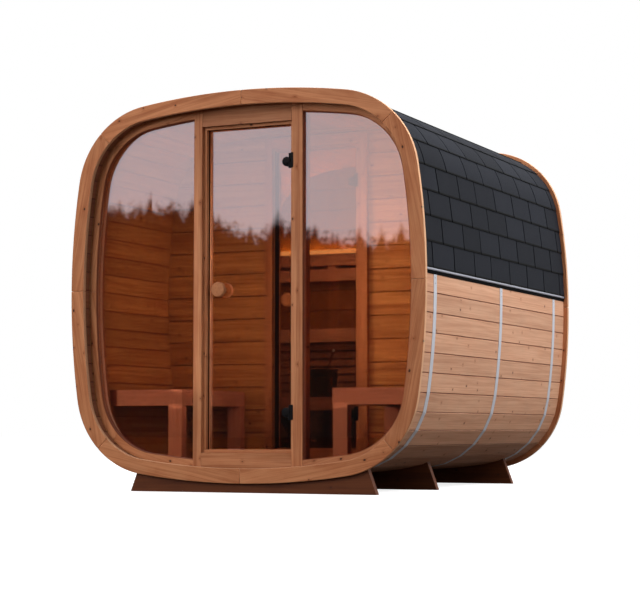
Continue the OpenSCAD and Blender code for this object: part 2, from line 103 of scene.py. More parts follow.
class Maker:  # adds nodes to one tree
    def __init__(self, tree):
        self.tree = tree

    def put(self, socket, value):
        if isinstance(value, Wire):
            self.tree.links.new(value.socket, socket)
        elif value is not None:
            socket.default_value = value

    def add(self, kind, settings=None, *values, out=0, **named):
        node = self.tree.nodes.new(kind)
        for key, value in (settings or {}).items():
            setattr(node, key, value)
        for socket, value in zip(node.inputs, values):
            self.put(socket, value)
        for key, value in named.items():
            self.put(node.inputs[key.replace("_", " ")], value)
        return Wire(self, node.outputs[out])

    def func(self, operation, *values):
        return self.add("ShaderNodeMath", {"operation": operation}, *values)

    def vector(self, operation, *values, **named):
        return self.add("ShaderNodeVectorMath", {"operation": operation}, *values, **named)

    def join(self, x, y, z):
        return self.add("ShaderNodeCombineXYZ", None, x, y, z)

    def split(self, value):
        x = self.add("ShaderNodeSeparateXYZ", None, value)
        return x, x["Y"], x["Z"]

    def smooth(self, value, low, high):
        settings = {"interpolation_type": "SMOOTHSTEP"}
        return self.add("ShaderNodeMapRange", settings, value, low, high, 0.0, 1.0)

    def mix(self, factor, one, two, blend="MIX"):
        node = self.tree.nodes.new("ShaderNodeMix")
        node.data_type, node.blend_type = "RGBA", blend
        for index, value in ((0, factor), (6, one), (7, two)):
            self.put(node.inputs[index], value)
        return Wire(self, node.outputs[2])

    def level(self, colour, amount):
        return self.mix(1.0, colour, self.join(amount, amount, amount), "MULTIPLY")

    def noise(self, where, scale, detail=2.0, rough=0.5):
        named = {"Vector": where, "Scale": scale, "Detail": detail, "Roughness": rough}
        return self.add("ShaderNodeTexNoise", None, **named)

    def attribute(self, name, out="Fac"):
        return self.add("ShaderNodeAttribute", {"attribute_name": name}, out=out)

    def spot(self, kind="Object"):
        return self.add("ShaderNodeTexCoord", None, out=kind)

    def bump(self, strength, distance, height):
        return self.add("ShaderNodeBump", None, Strength=strength, Distance=distance, Height=height)

    def principled(self, colour, rough, shine=0.5, bump=None, metallic=0.0):
        return self.add(
            "ShaderNodeBsdfPrincipled", None, Base_Color=colour, Metallic=metallic, Roughness=rough,
            Specular_IOR_Level=shine, Normal=bump,
        )

    def named(self, name, kind="FLOAT"):  # reads an attribute in a Geometry Nodes tree
        return self.add("GeometryNodeInputNamedAttribute", {"data_type": kind}, name)

    def store(self, geometry, name, value, kind="FLOAT"):
        named = {"Geometry": geometry, "Name": name, "Value": value}
        return self.add("GeometryNodeStoreNamedAttribute", {"data_type": kind, "domain": "POINT"}, **named)

    def move(self, geometry, **named):
        return self.add("GeometryNodeSetPosition", None, Geometry=geometry, **named)

    def slab(self, size, rows):
        return self.add("GeometryNodeMeshCube", None, Size=size, Vertices_X=rows, Vertices_Y=2, Vertices_Z=2)

    def together(self, *parts):
        node = self.tree.nodes.new("GeometryNodeJoinGeometry")
        for part in parts:
            self.put(node.inputs[0], part)
        return Wire(self, node.outputs[0])


def newMaterial(name):
    material = bpy.data.materials.new(name)
    material.use_nodes = True
    material.node_tree.nodes.clear()
    return material, Maker(material.node_tree)


def finish(material, m, shader):
    m.put(m.tree.nodes.new("ShaderNodeOutputMaterial").inputs["Surface"], shader)
    return material


def knotCells(m, gx, gy, gz, share):  # small dark spikes that lie across the fibres, with a halo round each
    where = m.join(gx * 5.5, gy * 7.5 + gz * 1.1, 0.0)
    cells = m.add("ShaderNodeTexVoronoi", {"voronoi_dimensions": "2D"}, Vector=where, Scale=1.0)
    chance = m.add("ShaderNodeSeparateColor", None, cells["Color"])
    kept = m.func("GREATER_THAN", chance, 1.0 - share)
    size = chance["Green"] * chance["Green"] * 0.034 + 0.020
    ragged = m.noise(m.join(gx * 90.0, gy * 60.0, 0.0), 1.0, 1.0)
    knot = (1.0 - m.smooth(cells["Distance"] / size + (ragged - 0.5) * 0.5, 0.75, 1.05)) * kept
    return knot, (1.0 - m.smooth(cells["Distance"], 0.02, 0.17)) * kept


def woodMaterial(
    name, light, dark, streak=0.6, knots=0.40, ring=0.2, inside=None, vein=0.35, veinSize=70.0, rim=0.0,
):
    material, m = newMaterial(name)
    tone, edge = m.attribute("tone"), m.attribute("edge")
    gx, gy, gz = m.split(m.attribute("grain", "Vector"))
    knot, halo = knotCells(m, gx, gy, gz, knots)
    # fibres wander along the board and part round a knot
    drift = m.noise(m.join(gx * 1.3, gy * 5.0, gz * 5.0), 1.0, 2.0)
    bent = gy + (drift - 0.5) * 0.030 + halo * 0.008
    broad = m.noise(m.join(gx * 0.9, bent * 22.0, gz * 22.0), 1.0, 3.0, 0.6)
    blotch = m.noise(m.join(gx * 5.0, gy * 9.0, gz * 9.0), 1.0, 3.0, 0.6)
    fibre = m.noise(m.join(gx * 8.0, bent * 300.0, gz * 300.0), 1.0, 2.0)
    lines = m.noise(m.join(gx * veinSize * 0.022, bent * veinSize, gz * veinSize), 1.0, 3.0, 0.7)
    pith = m.func("SQRT", (bent - 0.015) ** 2.0 + (gz + 0.055) ** 2.0)
    rings = m.func("SINE", (pith + gx * 0.0035) * 900.0 + drift * 12.0) * 0.5 + 0.5
    shade = m.smooth(broad * 0.55 + blotch * 0.45, 0.36, 0.66)
    colour = m.mix(shade * streak, srgb(*light), srgb(*dark))
    if inside:  # the room side of a board has a warmer finish, between the two end walls; beyond them, in the recesses by the rings, it is painted dark brown, painted shade
        warm = m.mix(shade * streak, *(srgb(*tint) for tint in inside))
        beyond = m.smooth(m.func("ABSOLUTE", m.split(m.spot())[1]), 1.249, 1.253)
        colour = m.mix(m.smooth(gz, -0.030, -0.020), m.mix(beyond, warm, srgb(150, 98, 70)), colour)
    deeper = m.mix(1.0, colour, (0.66, 0.50, 0.40, 1.0), "MULTIPLY")
    mark = rings * rings * ring + fibre * 0.16 + halo * halo * 0.5 + m.smooth(lines, 0.40, 0.72) * vein
    colour = m.mix(mark, colour, deeper)
    colour = m.mix(knot * 0.93, colour, (0.040, 0.014, 0.008, 1.0))
    if rim:  # painted highlight: sides that face outwards, away from front and back, are painted paler, as if lit
        side = 1.0 - m.smooth(m.func("ABSOLUTE", m.split(m.spot("Normal"))[1]), 0.3, 0.7)
        colour = m.mix(side * rim, colour, srgb(240, 196, 156))
    colour = m.level(colour, 1.0 + tone * 0.10 + (blotch - 0.5) * 0.55)
    # painted shade: board sides deep in the grooves are darkened, as if shaded in the joints
    joint = m.mix(1.0, colour, (0.46, 0.27, 0.18, 1.0), "MULTIPLY")
    colour = m.mix(m.smooth(edge, 0.05, 0.9) * 0.9, colour, joint)
    bump = m.bump(0.2, 0.002, fibre * 0.4 + rings * 0.2 + broad * 0.3 - knot * 0.5)
    return finish(material, m, m.principled(colour, 0.5 + broad * 0.14, 0.40, bump))


def shingleMaterial(name):
    material, m = newMaterial(name)
    grit, cloud = m.noise(m.spot(), 900.0, 2.0, 0.7), m.noise(m.spot(), 7.0, 3.0)
    colour = m.level(srgb(26, 28, 34), 0.78 + m.attribute("tone") * 0.22 + grit * 0.33 + cloud * 0.18)
    # painted shadow: the lowest strip of each tab is painted near black, for the shade along each course
    under = 1.0 - m.smooth(m.attribute("up"), 0.055, 0.085)  # the lower edge lies in the dark
    colour = m.mix(under, colour, (0.001, 0.001, 0.001, 1))
    return finish(material, m, m.principled(colour, 0.62 + grit * 0.2, 0.17, m.bump(0.35, 0.0015, grit)))


def metalMaterial(name, colour, metallic, rough, mottle=0.1, shine=0.5):
    material, m = newMaterial(name)
    patch, scratch = m.noise(m.spot(), 40.0, 3.0, 0.6), m.noise(m.spot(), 360.0, 2.0)
    tint = m.level(srgb(*colour), 1.0 - mottle + patch * 2.0 * mottle)
    bump = m.bump(0.05, 0.001, scratch)
    return finish(material, m, m.principled(tint, rough + patch * 0.12, shine, bump, metallic))


def glassMaterial(name, tint, mirror):
    material, m = newMaterial(name)
    clear = m.add("ShaderNodeBsdfTransparent", None, Color=tint)
    shine = m.principled((0.98, 0.96, 0.97, 1), 0.012, metallic=1.0)
    share = mirror + m.add("ShaderNodeFresnel", None, IOR=1.5) * (1.0 - mirror)
    return finish(material, m, m.add("ShaderNodeMixShader", None, share, clear, shine))


def glowMaterial(name, colour, strength):
    material, m = newMaterial(name)
    return finish(material, m, m.add("ShaderNodeEmission", None, Color=colour, Strength=strength))


woodLooks = {
    # ring: rim 0.6 paints its outward sides paler, a painted highlight
    "ring": {"light": (210, 144, 100), "dark": (160, 94, 56), "streak": 0.8, "ring": 0.12, "knots": 0.75,
             "vein": 0.65, "rim": 0.6},
    "stave": {"light": (219, 171, 139), "dark": (192, 142, 112), "streak": 0.7, "knots": 0.55, "vein": 0.42,
              "inside": ((232, 174, 110), (186, 124, 70))},
    "frame": {"light": (212, 147, 103), "dark": (165, 101, 62), "streak": 0.8, "knots": 0.75, "vein": 0.7},
    "wall": {"light": (228, 168, 102), "dark": (176, 108, 56), "knots": 0.75, "vein": 0.9, "veinSize": 42.0},
    # dim: the wall wood painted darker, painted shade on partition_left
    "dim": {"light": (203, 149, 90), "dark": (156, 96, 49), "knots": 0.75, "vein": 0.9, "veinSize": 42.0},
    # rear: the rear wall's room face is painted dark, painted shade
    "rear": {"light": (140, 92, 30), "dark": (112, 70, 22), "inside": ((208, 160, 127), (188, 136, 103))},
    "bench": {"light": (228, 164, 148), "dark": (210, 144, 128), "knots": 0.0, "vein": 0.25},
    "room": {"light": (216, 164, 144), "dark": (192, 142, 120), "knots": 0.0, "vein": 0.2},
    # slat: the room wood painted darker, painted shade under the upper bench
    "slat": {"light": (166, 120, 98), "dark": (156, 112, 90), "streak": 0.3, "knots": 0.0, "vein": 0.0},
    # bead: darker than the frame wood, painted shade of the pane recess
    "bead": {"light": (150, 80, 44), "dark": (116, 56, 30), "knots": 0.0, "vein": 0.3},
    "floor": {"light": (170, 112, 74), "dark": (136, 86, 54)},
    # cradle: kept dark, partly its wood, partly painted shade under the barrel
    "cradle": {"light": (112, 60, 28), "dark": (76, 37, 16), "streak": 0.8, "knots": 0.75},
    "knob": {"light": (192, 130, 88), "dark": (166, 104, 62), "knots": 0.0, "vein": 0.4},
}
wood = {name: woodMaterial(name + "Wood", **look) for name, look in woodLooks.items()}
shingle = shingleMaterial("shingle")
strapSteel = metalMaterial("strapSteel", (218, 221, 230), 0.45, 0.42, 0.06)
eaveLight = metalMaterial("eaveLight", (172, 173, 184), 0.5, 0.38)
# eave fascia: near black, partly its own dark metal, partly painted shade under the eave bar
eaveBlackAndShade = metalMaterial("eaveBlackAndShade", (4, 4, 5), 0.0, 0.75, shine=0.08)
blackPaint = metalMaterial("blackPaint", (12, 12, 14), 0.0, 0.42, shine=0.22)
bucketBlack = metalMaterial("bucketBlack", (9, 8, 8), 0.0, 0.55, shine=0.15)
# door seals: partly dark rubber, partly painted shade beside the leaves
rubberAndShade = metalMaterial("rubberAndShade", (40, 20, 13), 0.0, 0.8, shine=0.15)
frontGlass = glassMaterial("frontGlass", (0.80, 0.62, 0.47, 1), 0.34)
innerGlass = glassMaterial("innerGlass", (0.84, 0.78, 0.72, 1), 0.03)
warmGlow = glowMaterial("warmGlow", (1.0, 0.62, 0.31, 1), 3.2)
print("materials made")


barrel = {
    "crownRadius": 4.548, "sideRadius": 4.440, "cornerRadius": 0.524, "staveStep": 0.030,
    "staveThick": 0.045, "staveCount": 69, "stavePhase": 0.066, "ringWidth": 0.087, "seat": 0.0003,
}


class Outline:  # a square with bulging sides and round corners; lengths run along the staves' outside
    def __init__(self, box, sizes):
        low, high = box
        self.midZ = (low.z + high.z) / 2
        self.step = sizes["staveStep"]
        self.crown, self.side, self.corner = sizes["crownRadius"], sizes["sideRadius"], sizes["cornerRadius"]
        self.crownC = Vector((0, (high.z - low.z) / 2 - self.crown))
        self.sideC = Vector(((high.x - low.x) / 2 - self.side, 0))
        span = self.sideC - self.crownC
        reach, short = self.crown - self.corner, self.side - self.corner
        foot = (span.length_squared + reach**2 - short**2) / (2 * span.length)
        rise = math.sqrt(reach**2 - foot**2)
        along = span.normalized()
        self.cornerC = self.crownC + along * foot + Vector((along.y, -along.x)) * rise
        self.sideA = math.atan2(self.cornerC.y, self.cornerC.x - self.sideC.x)
        self.crownA = math.atan2(self.cornerC.x, self.cornerC.y - self.crownC.y)
        self.cornerA = math.pi / 2 - self.sideA - self.crownA
        self.sideS = (self.side - self.step) * self.sideA
        self.cornerS = (self.corner - self.step) * self.cornerA
        self.middle = self.sideS + self.cornerS / 2  # halfway round the corner
        self.quarter = self.sideS + self.cornerS + (self.crown - self.step) * self.crownA
        self.pitch = 4 * self.quarter / sizes["staveCount"]
        self.phase = sizes["stavePhase"]

    def at(self, s, depth):
        turn, rest = divmod(s % (4 * self.quarter), self.quarter)
        fold = rest if turn % 2 == 0 else self.quarter - rest
        if fold < self.sideS:
            centre, radius, angle = self.sideC, self.side, fold / (self.side - self.step)
        elif fold < self.sideS + self.cornerS:
            centre, radius = self.cornerC, self.corner
            angle = self.sideA + (fold - self.sideS) / (self.corner - self.step)
        else:
            centre, radius = self.crownC, self.crown
            angle = math.pi / 2 - self.crownA + (fold - self.sideS - self.cornerS) / (self.crown - self.step)
        point = centre + Vector((math.cos(angle), math.sin(angle))) * (radius - depth)
        x, up = point.x if turn in (0, 3) else -point.x, point.y if turn < 2 else -point.y
        return Vector((x, self.midZ + up))

    def locate(self, x, z):  # the reverse of at
        here = Vector((abs(x), abs(z - self.midZ)))
        angle = math.atan2(here.y - self.cornerC.y, here.x - self.cornerC.x)
        if angle < self.sideA:
            away = here - self.sideC
            s = math.atan2(away.y, away.x) * (self.side - self.step)
            depth = self.side - away.length
        elif angle < math.pi / 2 - self.crownA:
            s = self.sideS + (angle - self.sideA) * (self.corner - self.step)
            depth = self.corner - (here - self.cornerC).length
        else:
            away = here - self.crownC
            s = self.quarter - math.atan2(away.x, away.y) * (self.crown - self.step)
            depth = self.crown - away.length
        if x < 0:
            s = 2 * self.quarter - s
        return (s if z >= self.midZ else 4 * self.quarter - s), depth

    def joint(self, k):
        return k * self.pitch - self.phase

    def nearestJoint(self, s):
        return round((s + self.phase) / self.pitch)

    def corners(self, depth):  # the polygon through every stave joint
        return [self.at(self.joint(k), depth) for k in range(barrel["staveCount"])]


outline = Outline(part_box("front_ring_a"), barrel)
innerDepth = barrel["staveStep"] + barrel["staveThick"]


def boxBoard(low, high):
    bm = bmesh.new()
    bmesh.ops.create_cube(bm, size=1)
    low, high = Vector(low), Vector(high)
    for v in bm.verts:
        v.co = Vector([(low[i] + high[i]) / 2 + v.co[i] * (high[i] - low[i]) for i in range(3)])
    return bm


def prism(points, y0, y1):  # points run counter-clockwise seen from the front
    bm = bmesh.new()
    near = [bm.verts.new((p[0], y0, p[1])) for p in points]
    far = [bm.verts.new((p[0], y1, p[1])) for p in points]
    bm.faces.new(near)
    bm.faces.new(far[::-1])
    for i in range(len(points)):
        j = (i + 1) % len(points)
        bm.faces.new((near[j], near[i], far[i], far[j]))
    return bm


def arcBoard(s0, s1, outer, inner, y0, y1, step=0.030):  # a curved board that follows the outline
    bm = bmesh.new()
    count = max(2, math.ceil((s1 - s0) / step))
    rings = []
    for i in range(count + 1):
        s = s0 + (s1 - s0) * i / count
        a, b = outline.at(s, outer), outline.at(s, inner)
        corners = (a.x, y0, a.y), (a.x, y1, a.y), (b.x, y1, b.y), (b.x, y0, b.y)
        rings.append([bm.verts.new(c) for c in corners])
    for one, two in zip(rings, rings[1:]):
        for i in range(4):
            j = (i + 1) % 4
            bm.faces.new((one[i], one[j], two[j], two[i]))
    bm.faces.new(rings[0][::-1])
    bm.faces.new(rings[-1])
    bmesh.ops.recalc_face_normals(bm, faces=bm.faces)
    return bm


def lathe(profile, steps=40):  # profile of (radius, height) pairs, turned round Z
    bm = bmesh.new()
    rings = []
    for radius, height in profile:
        if radius == 0:
            rings.append([bm.verts.new((0, 0, height))] * steps)
            continue
        turns = [2 * math.pi * i / steps for i in range(steps)]
        rings.append([bm.verts.new((radius * math.cos(t), radius * math.sin(t), height)) for t in turns])
    for one, two in zip(rings, rings[1:]):
        for i in range(steps):
            j = (i + 1) % steps
            corners = list(dict.fromkeys((one[i], one[j], two[j], two[i])))
            if len(corners) > 2:
                bm.faces.new(corners)
    bmesh.ops.recalc_face_normals(bm, faces=bm.faces)
    return bm


def soften(bm, width, segments=2, angle=35):
    sharp = [e for e in bm.edges if len(e.link_faces) == 2 and e.calc_face_angle(0) > math.radians(angle)]
    bmesh.ops.bevel(
        bm, geom=sharp, offset=width, segments=segments, profile=0.5, affect="EDGES", clamp_overlap=True,
    )
    return bm


def straightGrain(along, across):  # fibres run along one axis of the frame
    depth = 3 - along - across
    return lambda co: (co[along], co[across], co[depth])


def ringGrain(co):  # fibres follow the outline
    s, depth = outline.locate(co.x, co.z)
    return s, depth, co.y


def chordGrain(s0, s1):  # fibres run straight from one end of a curved board to the other
    a, b = outline.at(s0, 0.04), outline.at(s1, 0.04)
    u = (b - a).normalized()

    def follow(co):
        x, z = co.x - a.x, co.z - a.y
        return x * u.x + z * u.y, z * u.x - x * u.y, co.y

    return follow


class Piece:  # gathers boards, each with its own grain and tone
    def __init__(self, name, seed=1):
        self.name, self.rng = name, random.Random(seed)
        self.verts, self.faces, self.grain, self.tone = [], [], [], []

    def add(self, bm, grainOf=straightGrain(2, 0), tone=None):
        base = len(self.verts)
        bm.verts.index_update()
        shift = self.rng.uniform(0, 60)
        tone = self.rng.uniform(-1, 1) if tone is None else tone
        coords = [grainOf(v.co) for v in bm.verts]
        mid = [sum(c[i] for c in coords) / len(coords) for i in range(3)]
        self.verts += [v.co.copy() for v in bm.verts]
        self.grain += [(c[0] + shift, c[1] - mid[1], c[2] - mid[2]) for c in coords]
        self.tone += [tone] * len(bm.verts)
        self.faces += [[base + v.index for v in f.verts] for f in bm.faces]
        bm.free()

    def make(self, material, body, nodes, slot=None, smoothAngle=20):
        mesh = bpy.data.meshes.new(self.name)
        mesh.from_pydata(self.verts, [], self.faces)
        grain = mesh.attributes.new("grain", "FLOAT_VECTOR", "POINT")
        grain.data.foreach_set("vector", [c for row in self.grain for c in row])
        mesh.attributes.new("tone", "FLOAT", "POINT").data.foreach_set("value", self.tone)
        return place(self.name, mesh, material, body, nodes, slot, smoothAngle)


def place(name, mesh, material, body, nodes, slot=None, smoothAngle=20):
    if material is not None:
        mesh.materials.clear()
        mesh.materials.append(material)
    mesh.polygons.foreach_set("use_smooth", [True] * len(mesh.polygons))
    mesh.set_sharp_from_angle(angle=math.radians(smoothAngle))
    thing = bpy.data.objects.new(name, mesh)
    bpy.context.scene.collection.objects.link(thing)
    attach(thing, body)
    if nodes:
        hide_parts(*nodes)
    return thing


def nodeTree(name, inputs):  # a tree with named inputs and a maker for it
    tree = bpy.data.node_groups.new(name, "GeometryNodeTree")
    kinds = {type(None): "Material", int: "Int", float: "Float"}
    tree.interface.new_socket(name="Geometry", in_out="INPUT", socket_type="NodeSocketGeometry")
    for label, value in inputs.items():
        kind = "NodeSocket" + kinds[type(value)]
        socket = tree.interface.new_socket(name=label, in_out="INPUT", socket_type=kind)
        if value is not None:
            socket.default_value = value
    tree.interface.new_socket(name="Geometry", in_out="OUTPUT", socket_type="NodeSocketGeometry")
    m = Maker(tree)
    return tree, m, m.add("NodeGroupInput")


def closeTree(m, geometry, material):
    real = m.add("GeometryNodeRealizeInstances", None, geometry)
    coated = m.add("GeometryNodeSetMaterial", None, Geometry=real, Material=material)
    m.put(m.tree.nodes.new("NodeGroupOutput").inputs["Geometry"], coated)


def grow(name, mesh, tree, values):  # runs a tree on a mesh and returns the plain result
    source = bpy.data.objects.new(name + "Source", mesh)
    bpy.context.scene.collection.objects.link(source)
    modifier = source.modifiers.new("grow", "NODES")
    modifier.node_group = tree
    for item in tree.interface.items_tree:
        if item.in_out == "INPUT" and item.name in values:
            modifier[item.identifier] = values[item.name]
    graph = bpy.context.evaluated_depsgraph_get()
    result = bpy.data.meshes.new_from_object(source.evaluated_get(graph))
    result.name = name
    bpy.data.objects.remove(source)
    return result


boardSizes = {"Thickness": 0.042, "Gap": 0.002, "Groove": 0.006, "Chamfer": 0.003, "Material": None}


def boardTree():  # turns every face into a board with grooved and chamfered long edges
    tree, m, given = nodeTree("boards", boardSizes)
    thick, gap, groove, chamfer = (given[key] for key in ("Thickness", "Gap", "Groove", "Chamfer"))
    full, taper, shift = (m.named(key) for key in ("breadth", "taper", "shift"))
    along, across, centre = (m.named(key, "FLOAT_VECTOR") for key in ("along", "across", "centre"))

    def widen(mesh, chosen, factor):
        settings = {"domain": "FACE", "scale_mode": "SINGLE_AXIS"}
        named = {"Geometry": mesh, "Selection": chosen, "Scale": factor, "Axis": across}
        return m.add("GeometryNodeScaleElements", settings, **named)

    gapped = full - gap
    narrow = gapped - chamfer * 2.0
    front = widen(m.add("GeometryNodeSplitEdges", None, given["Geometry"]), True, narrow / full)
    body = m.add("GeometryNodeFlipFaces", None, front)
    steps = [
        (chamfer, gapped / narrow), (groove, 1.0), (0.0, full / gapped),
        (thick - (chamfer + groove) * 2.0, taper),
        (0.0, gapped / full), (groove, 1.0), (chamfer, narrow / gapped),
    ]
    chosen = True
    for depth, factor in steps:
        grown = m.add(
            "GeometryNodeExtrudeMesh", {"mode": "FACES"}, Mesh=body, Selection=chosen, Offset_Scale=depth,
            Individual=True,
        )
        chosen = grown["Top"]
        body = widen(grown, chosen, factor)
    solid = m.add("GeometryNodeMergeByDistance", None, m.together(body, front), Distance=0.00001)
    local = m.vector("SUBTRACT", m.add("GeometryNodeInputPosition"), centre)
    run = m.vector("DOT_PRODUCT", local, along, out="Value") + shift
    side = m.vector("DOT_PRODUCT", local, across, out="Value")
    deep = m.vector("DOT_PRODUCT", local, m.vector("CROSS_PRODUCT", along, across), out="Value")
    below = m.func("ABSOLUTE", deep)
    solid = m.store(solid, "grain", m.join(run, side, deep), "FLOAT_VECTOR")
    # edge grows with depth into a board from either face; the wood material paints shade in the joints by it
    solid = m.store(solid, "edge", m.func("MINIMUM", below, thick - below) / groove)
    closeTree(m, solid, given["Material"])
    return tree


boards = boardTree()


def facesMesh(name, faces, seed):  # faces: what boardFace gives
    rng = random.Random(seed)
    verts, polys = [], []
    for face in faces:
        polys.append(list(range(len(verts), len(verts) + len(face["points"]))))
        verts += face["points"]
    mesh = bpy.data.meshes.new(name)
    mesh.from_pydata(verts, [], polys)
    for key in ("along", "across", "centre"):
        values = [c for face in faces for c in face[key]]
        mesh.attributes.new(key, "FLOAT_VECTOR", "FACE").data.foreach_set("vector", values)
    for key, value in (("breadth", None), ("taper", None), ("shift", (0, 60)), ("tone", (-1, 1))):
        rows = [rng.uniform(*value) if value else face[key] for face in faces]
        mesh.attributes.new(key, "FLOAT", "FACE").data.foreach_set("value", rows)
    return mesh


def boardPiece(name, faces, material, body, nodes, seed=1, slot=None, **sizes):
    values = {**boardSizes, "Material": material, **sizes}
    mesh = grow(name, facesMesh(name + "Faces", faces, seed), boards, values)
    return place(name, mesh, None, body, nodes, slot)


axes = {"x": Vector((1, 0, 0)), "y": Vector((0, 1, 0)), "z": Vector((0, 0, 1))}
leastBoard = 0.004  # slimmer boards are left out
wallToWall = (-2, 2)  # X values beyond the staves on both sides


def boardFace(points, along, across, breadth, taper=1.0):
    centre = sum(points, Vector()) / len(points)
    face = {"points": points, "centre": centre, "along": along, "across": across}
    return {**face, "breadth": breadth, "taper": taper}


def clip(points, axis, limit, keep):  # keeps the part of a convex polygon above or below a limit
    result = []
    for a, b in zip(points, points[1:] + points[:1]):
        da, db = keep * (a[axis] - limit), keep * (b[axis] - limit)
        if da >= 0:
            result.append(a)
        if (da >= 0) != (db >= 0):
            result.append(a + (b - a) * (da / (da - db)))
    return result


def fitted(x0, x1, z0, z1, clearance=0.0003):  # a rectangle trimmed to fit inside the staves
    points = outline.corners(innerDepth + clearance)
    for axis, limit, keep in ((0, x0, 1), (0, x1, -1), (1, z0, 1), (1, z1, -1)):
        points = clip(points, axis, limit, keep)
    return points


def wallFaces(x0, x1, z0, z1, breadth, y, start):  # horizontal boards that face the front
    faces = []
    z = start - breadth * math.ceil((start - z0) / breadth)
    while z < z1:
        bottom, top = max(z, z0), min(z + breadth, z1)
        points = fitted(x0, x1, bottom, top) if top - bottom > leastBoard else []
        tall = max(p.y for p in points) - min(p.y for p in points) if len(points) > 2 else 0
        if tall > leastBoard:
            faces.append(boardFace([Vector((p.x, y, p.y)) for p in points], axes["x"], axes["z"], tall))
        z += breadth
    return faces


def deckFaces(x0, x1, y0, y1, z, count):  # boards that run lengthways and face up
    faces = []
    for i in range(count):
        a, b = (x0 + (x1 - x0) * k / count for k in (i, i + 1))
        corners = [Vector((a, y0, z)), Vector((b, y0, z)), Vector((b, y1, z)), Vector((a, y1, z))]
        faces.append(boardFace(corners, axes["y"], axes["x"], b - a))
    return faces


def staveFaces(k0, k1, y0, y1):
    faces = []
    for k in range(k0, k1):
        a, b = (outline.at(outline.joint(i), barrel["staveStep"]) for i in (k, k + 1))
        c, d = (outline.at(outline.joint(i), innerDepth) for i in (k, k + 1))
        corners = [Vector((p.x, y, p.y)) for p, y in ((a, y0), (a, y1), (b, y1), (b, y0))]
        across, breadth = Vector((b.x - a.x, 0, b.y - a.y)).normalized(), (b - a).length
        faces.append(boardFace(corners, axes["y"], across, breadth, (d - c).length / breadth))
    return faces


def addStaves():
    low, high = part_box("shell_top")
    half, side, corner = 2 * outline.quarter, outline.sideS, outline.sideS + outline.cornerS
    near = outline.nearestJoint
    runs = {
        "shell_right": [(near(-side), near(side))],
        "shell_left": [(near(half - side), near(half + side))],
        "shell_top": [(near(corner), near(half - corner))],
        "shell_bottom": [(near(half + corner), near(2 * half - corner))],
        "shell_corners_top": [(near(side), near(corner)), (near(half - corner), near(half - side))],
        "shell_corners_bottom": [
            (near(half + side), near(half + corner)),
            (near(2 * half - corner), near(-side) + barrel["staveCount"]),
        ],
    }
    for seed, (node, spans) in enumerate(runs.items()):
        faces = [face for k0, k1 in spans for face in staveFaces(k0, k1, low.y, high.y)]
        boardPiece(
            "staves_" + node, faces, wood["stave"], "cabin", [node], seed=seed, slot="stave_wood",
            Thickness=barrel["staveThick"], Gap=0.0028, Groove=0.0026, Chamfer=0.0026,
        )


addStaves()
print("staves made")


rings = {"gap": 0.0006, "bevel": 0.0035}


def addRing(node, start, seed):
    low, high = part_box(node)
    piece = Piece(node + "_boards", seed)
    middle, q = outline.middle, outline.quarter
    joints = [0, middle, q, 2 * q - middle, 2 * q, 2 * q + middle, 3 * q, 4 * q - middle, 4 * q]
    for i in range(start, 8, 2):
        s0, s1 = joints[i] + rings["gap"], joints[i + 1] - rings["gap"]
        bm = arcBoard(s0, s1, 0, barrel["ringWidth"], low.y, high.y)
        piece.add(soften(bm, rings["bevel"]), chordGrain(s0, s1))
    piece.make(wood["ring"], "cabin", [node], "ring_wood")


for seed, node in enumerate(("front_ring_a", "front_ring_b", "rear_ring_a", "rear_ring_b")):
    addRing(node, seed % 2, 20 + seed)
print("rings made")


front = {
    "frameWidth": 0.043, "bevel": 0.0025, "joint": 0.0018, "latchX": -0.304, "hingeX": 0.289,
    "frameGap": 0.0005, "postGap": 0.0004, "postEnds": 0.8,
}


def addBox(piece, low, high, bevel, grain=(2, 0)):
    piece.add(soften(boxBoard(low, high), bevel), straightGrain(*grain))


def addFitted(piece, x0, x1, z0, z1, y0, y1, bevel, grain=(0, 2), tone=None):  # trimmed by the staves
    piece.add(soften(prism(fitted(x0, x1, z0, z1), y0, y1), bevel), straightGrain(*grain), tone)


def addPosts(node, seed):
    low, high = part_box(node)
    piece = Piece(node + "_boards", seed)
    for x0, x1 in ((low.x, front["latchX"]), (front["hingeX"], high.x)):
        addFitted(piece, x0, x1, low.z, high.z, low.y, high.y, front["bevel"], (2, 0))
    piece.make(wood["frame"], "cabin", [node], "frame_wood")


def addCrossPiece(node, seed, tone):
    low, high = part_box(node)
    piece = Piece(node + "_board", seed)
    x0, x1 = low.x + front["joint"], high.x - front["joint"]
    addFitted(piece, x0, x1, low.z, high.z, low.y, high.y, front["bevel"], tone=tone)
    piece.make(wood["frame"], "cabin", [node], "frame_wood")


lining = {"wide": 0.018, "gap": 0.0004, "bevel": 0.002}


def addLining(node, seed):
    low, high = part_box(node)
    piece = Piece(node + "_strips", seed)
    wide, bevel = lining["wide"], lining["bevel"]
    between = wide + lining["gap"]
    for x in (low.x, high.x - wide):
        addBox(piece, (x, low.y, low.z + between), (x + wide, high.y, high.z - between), bevel)
    for z in (low.z, high.z - wide):
        addBox(piece, (low.x, low.y, z), (high.x, high.y, z + wide), bevel, (0, 2))
    piece.make(wood["frame"], "cabin", [node], "frame_wood")


def crossing(x, depth, low, high):  # where the outline at a depth crosses an X value
    for _ in range(60):
        mid = (low + high) / 2
        if (outline.at(mid, depth).x - x) * (outline.at(low, depth).x - x) > 0:
            low = mid
        else:
            high = mid
    return low


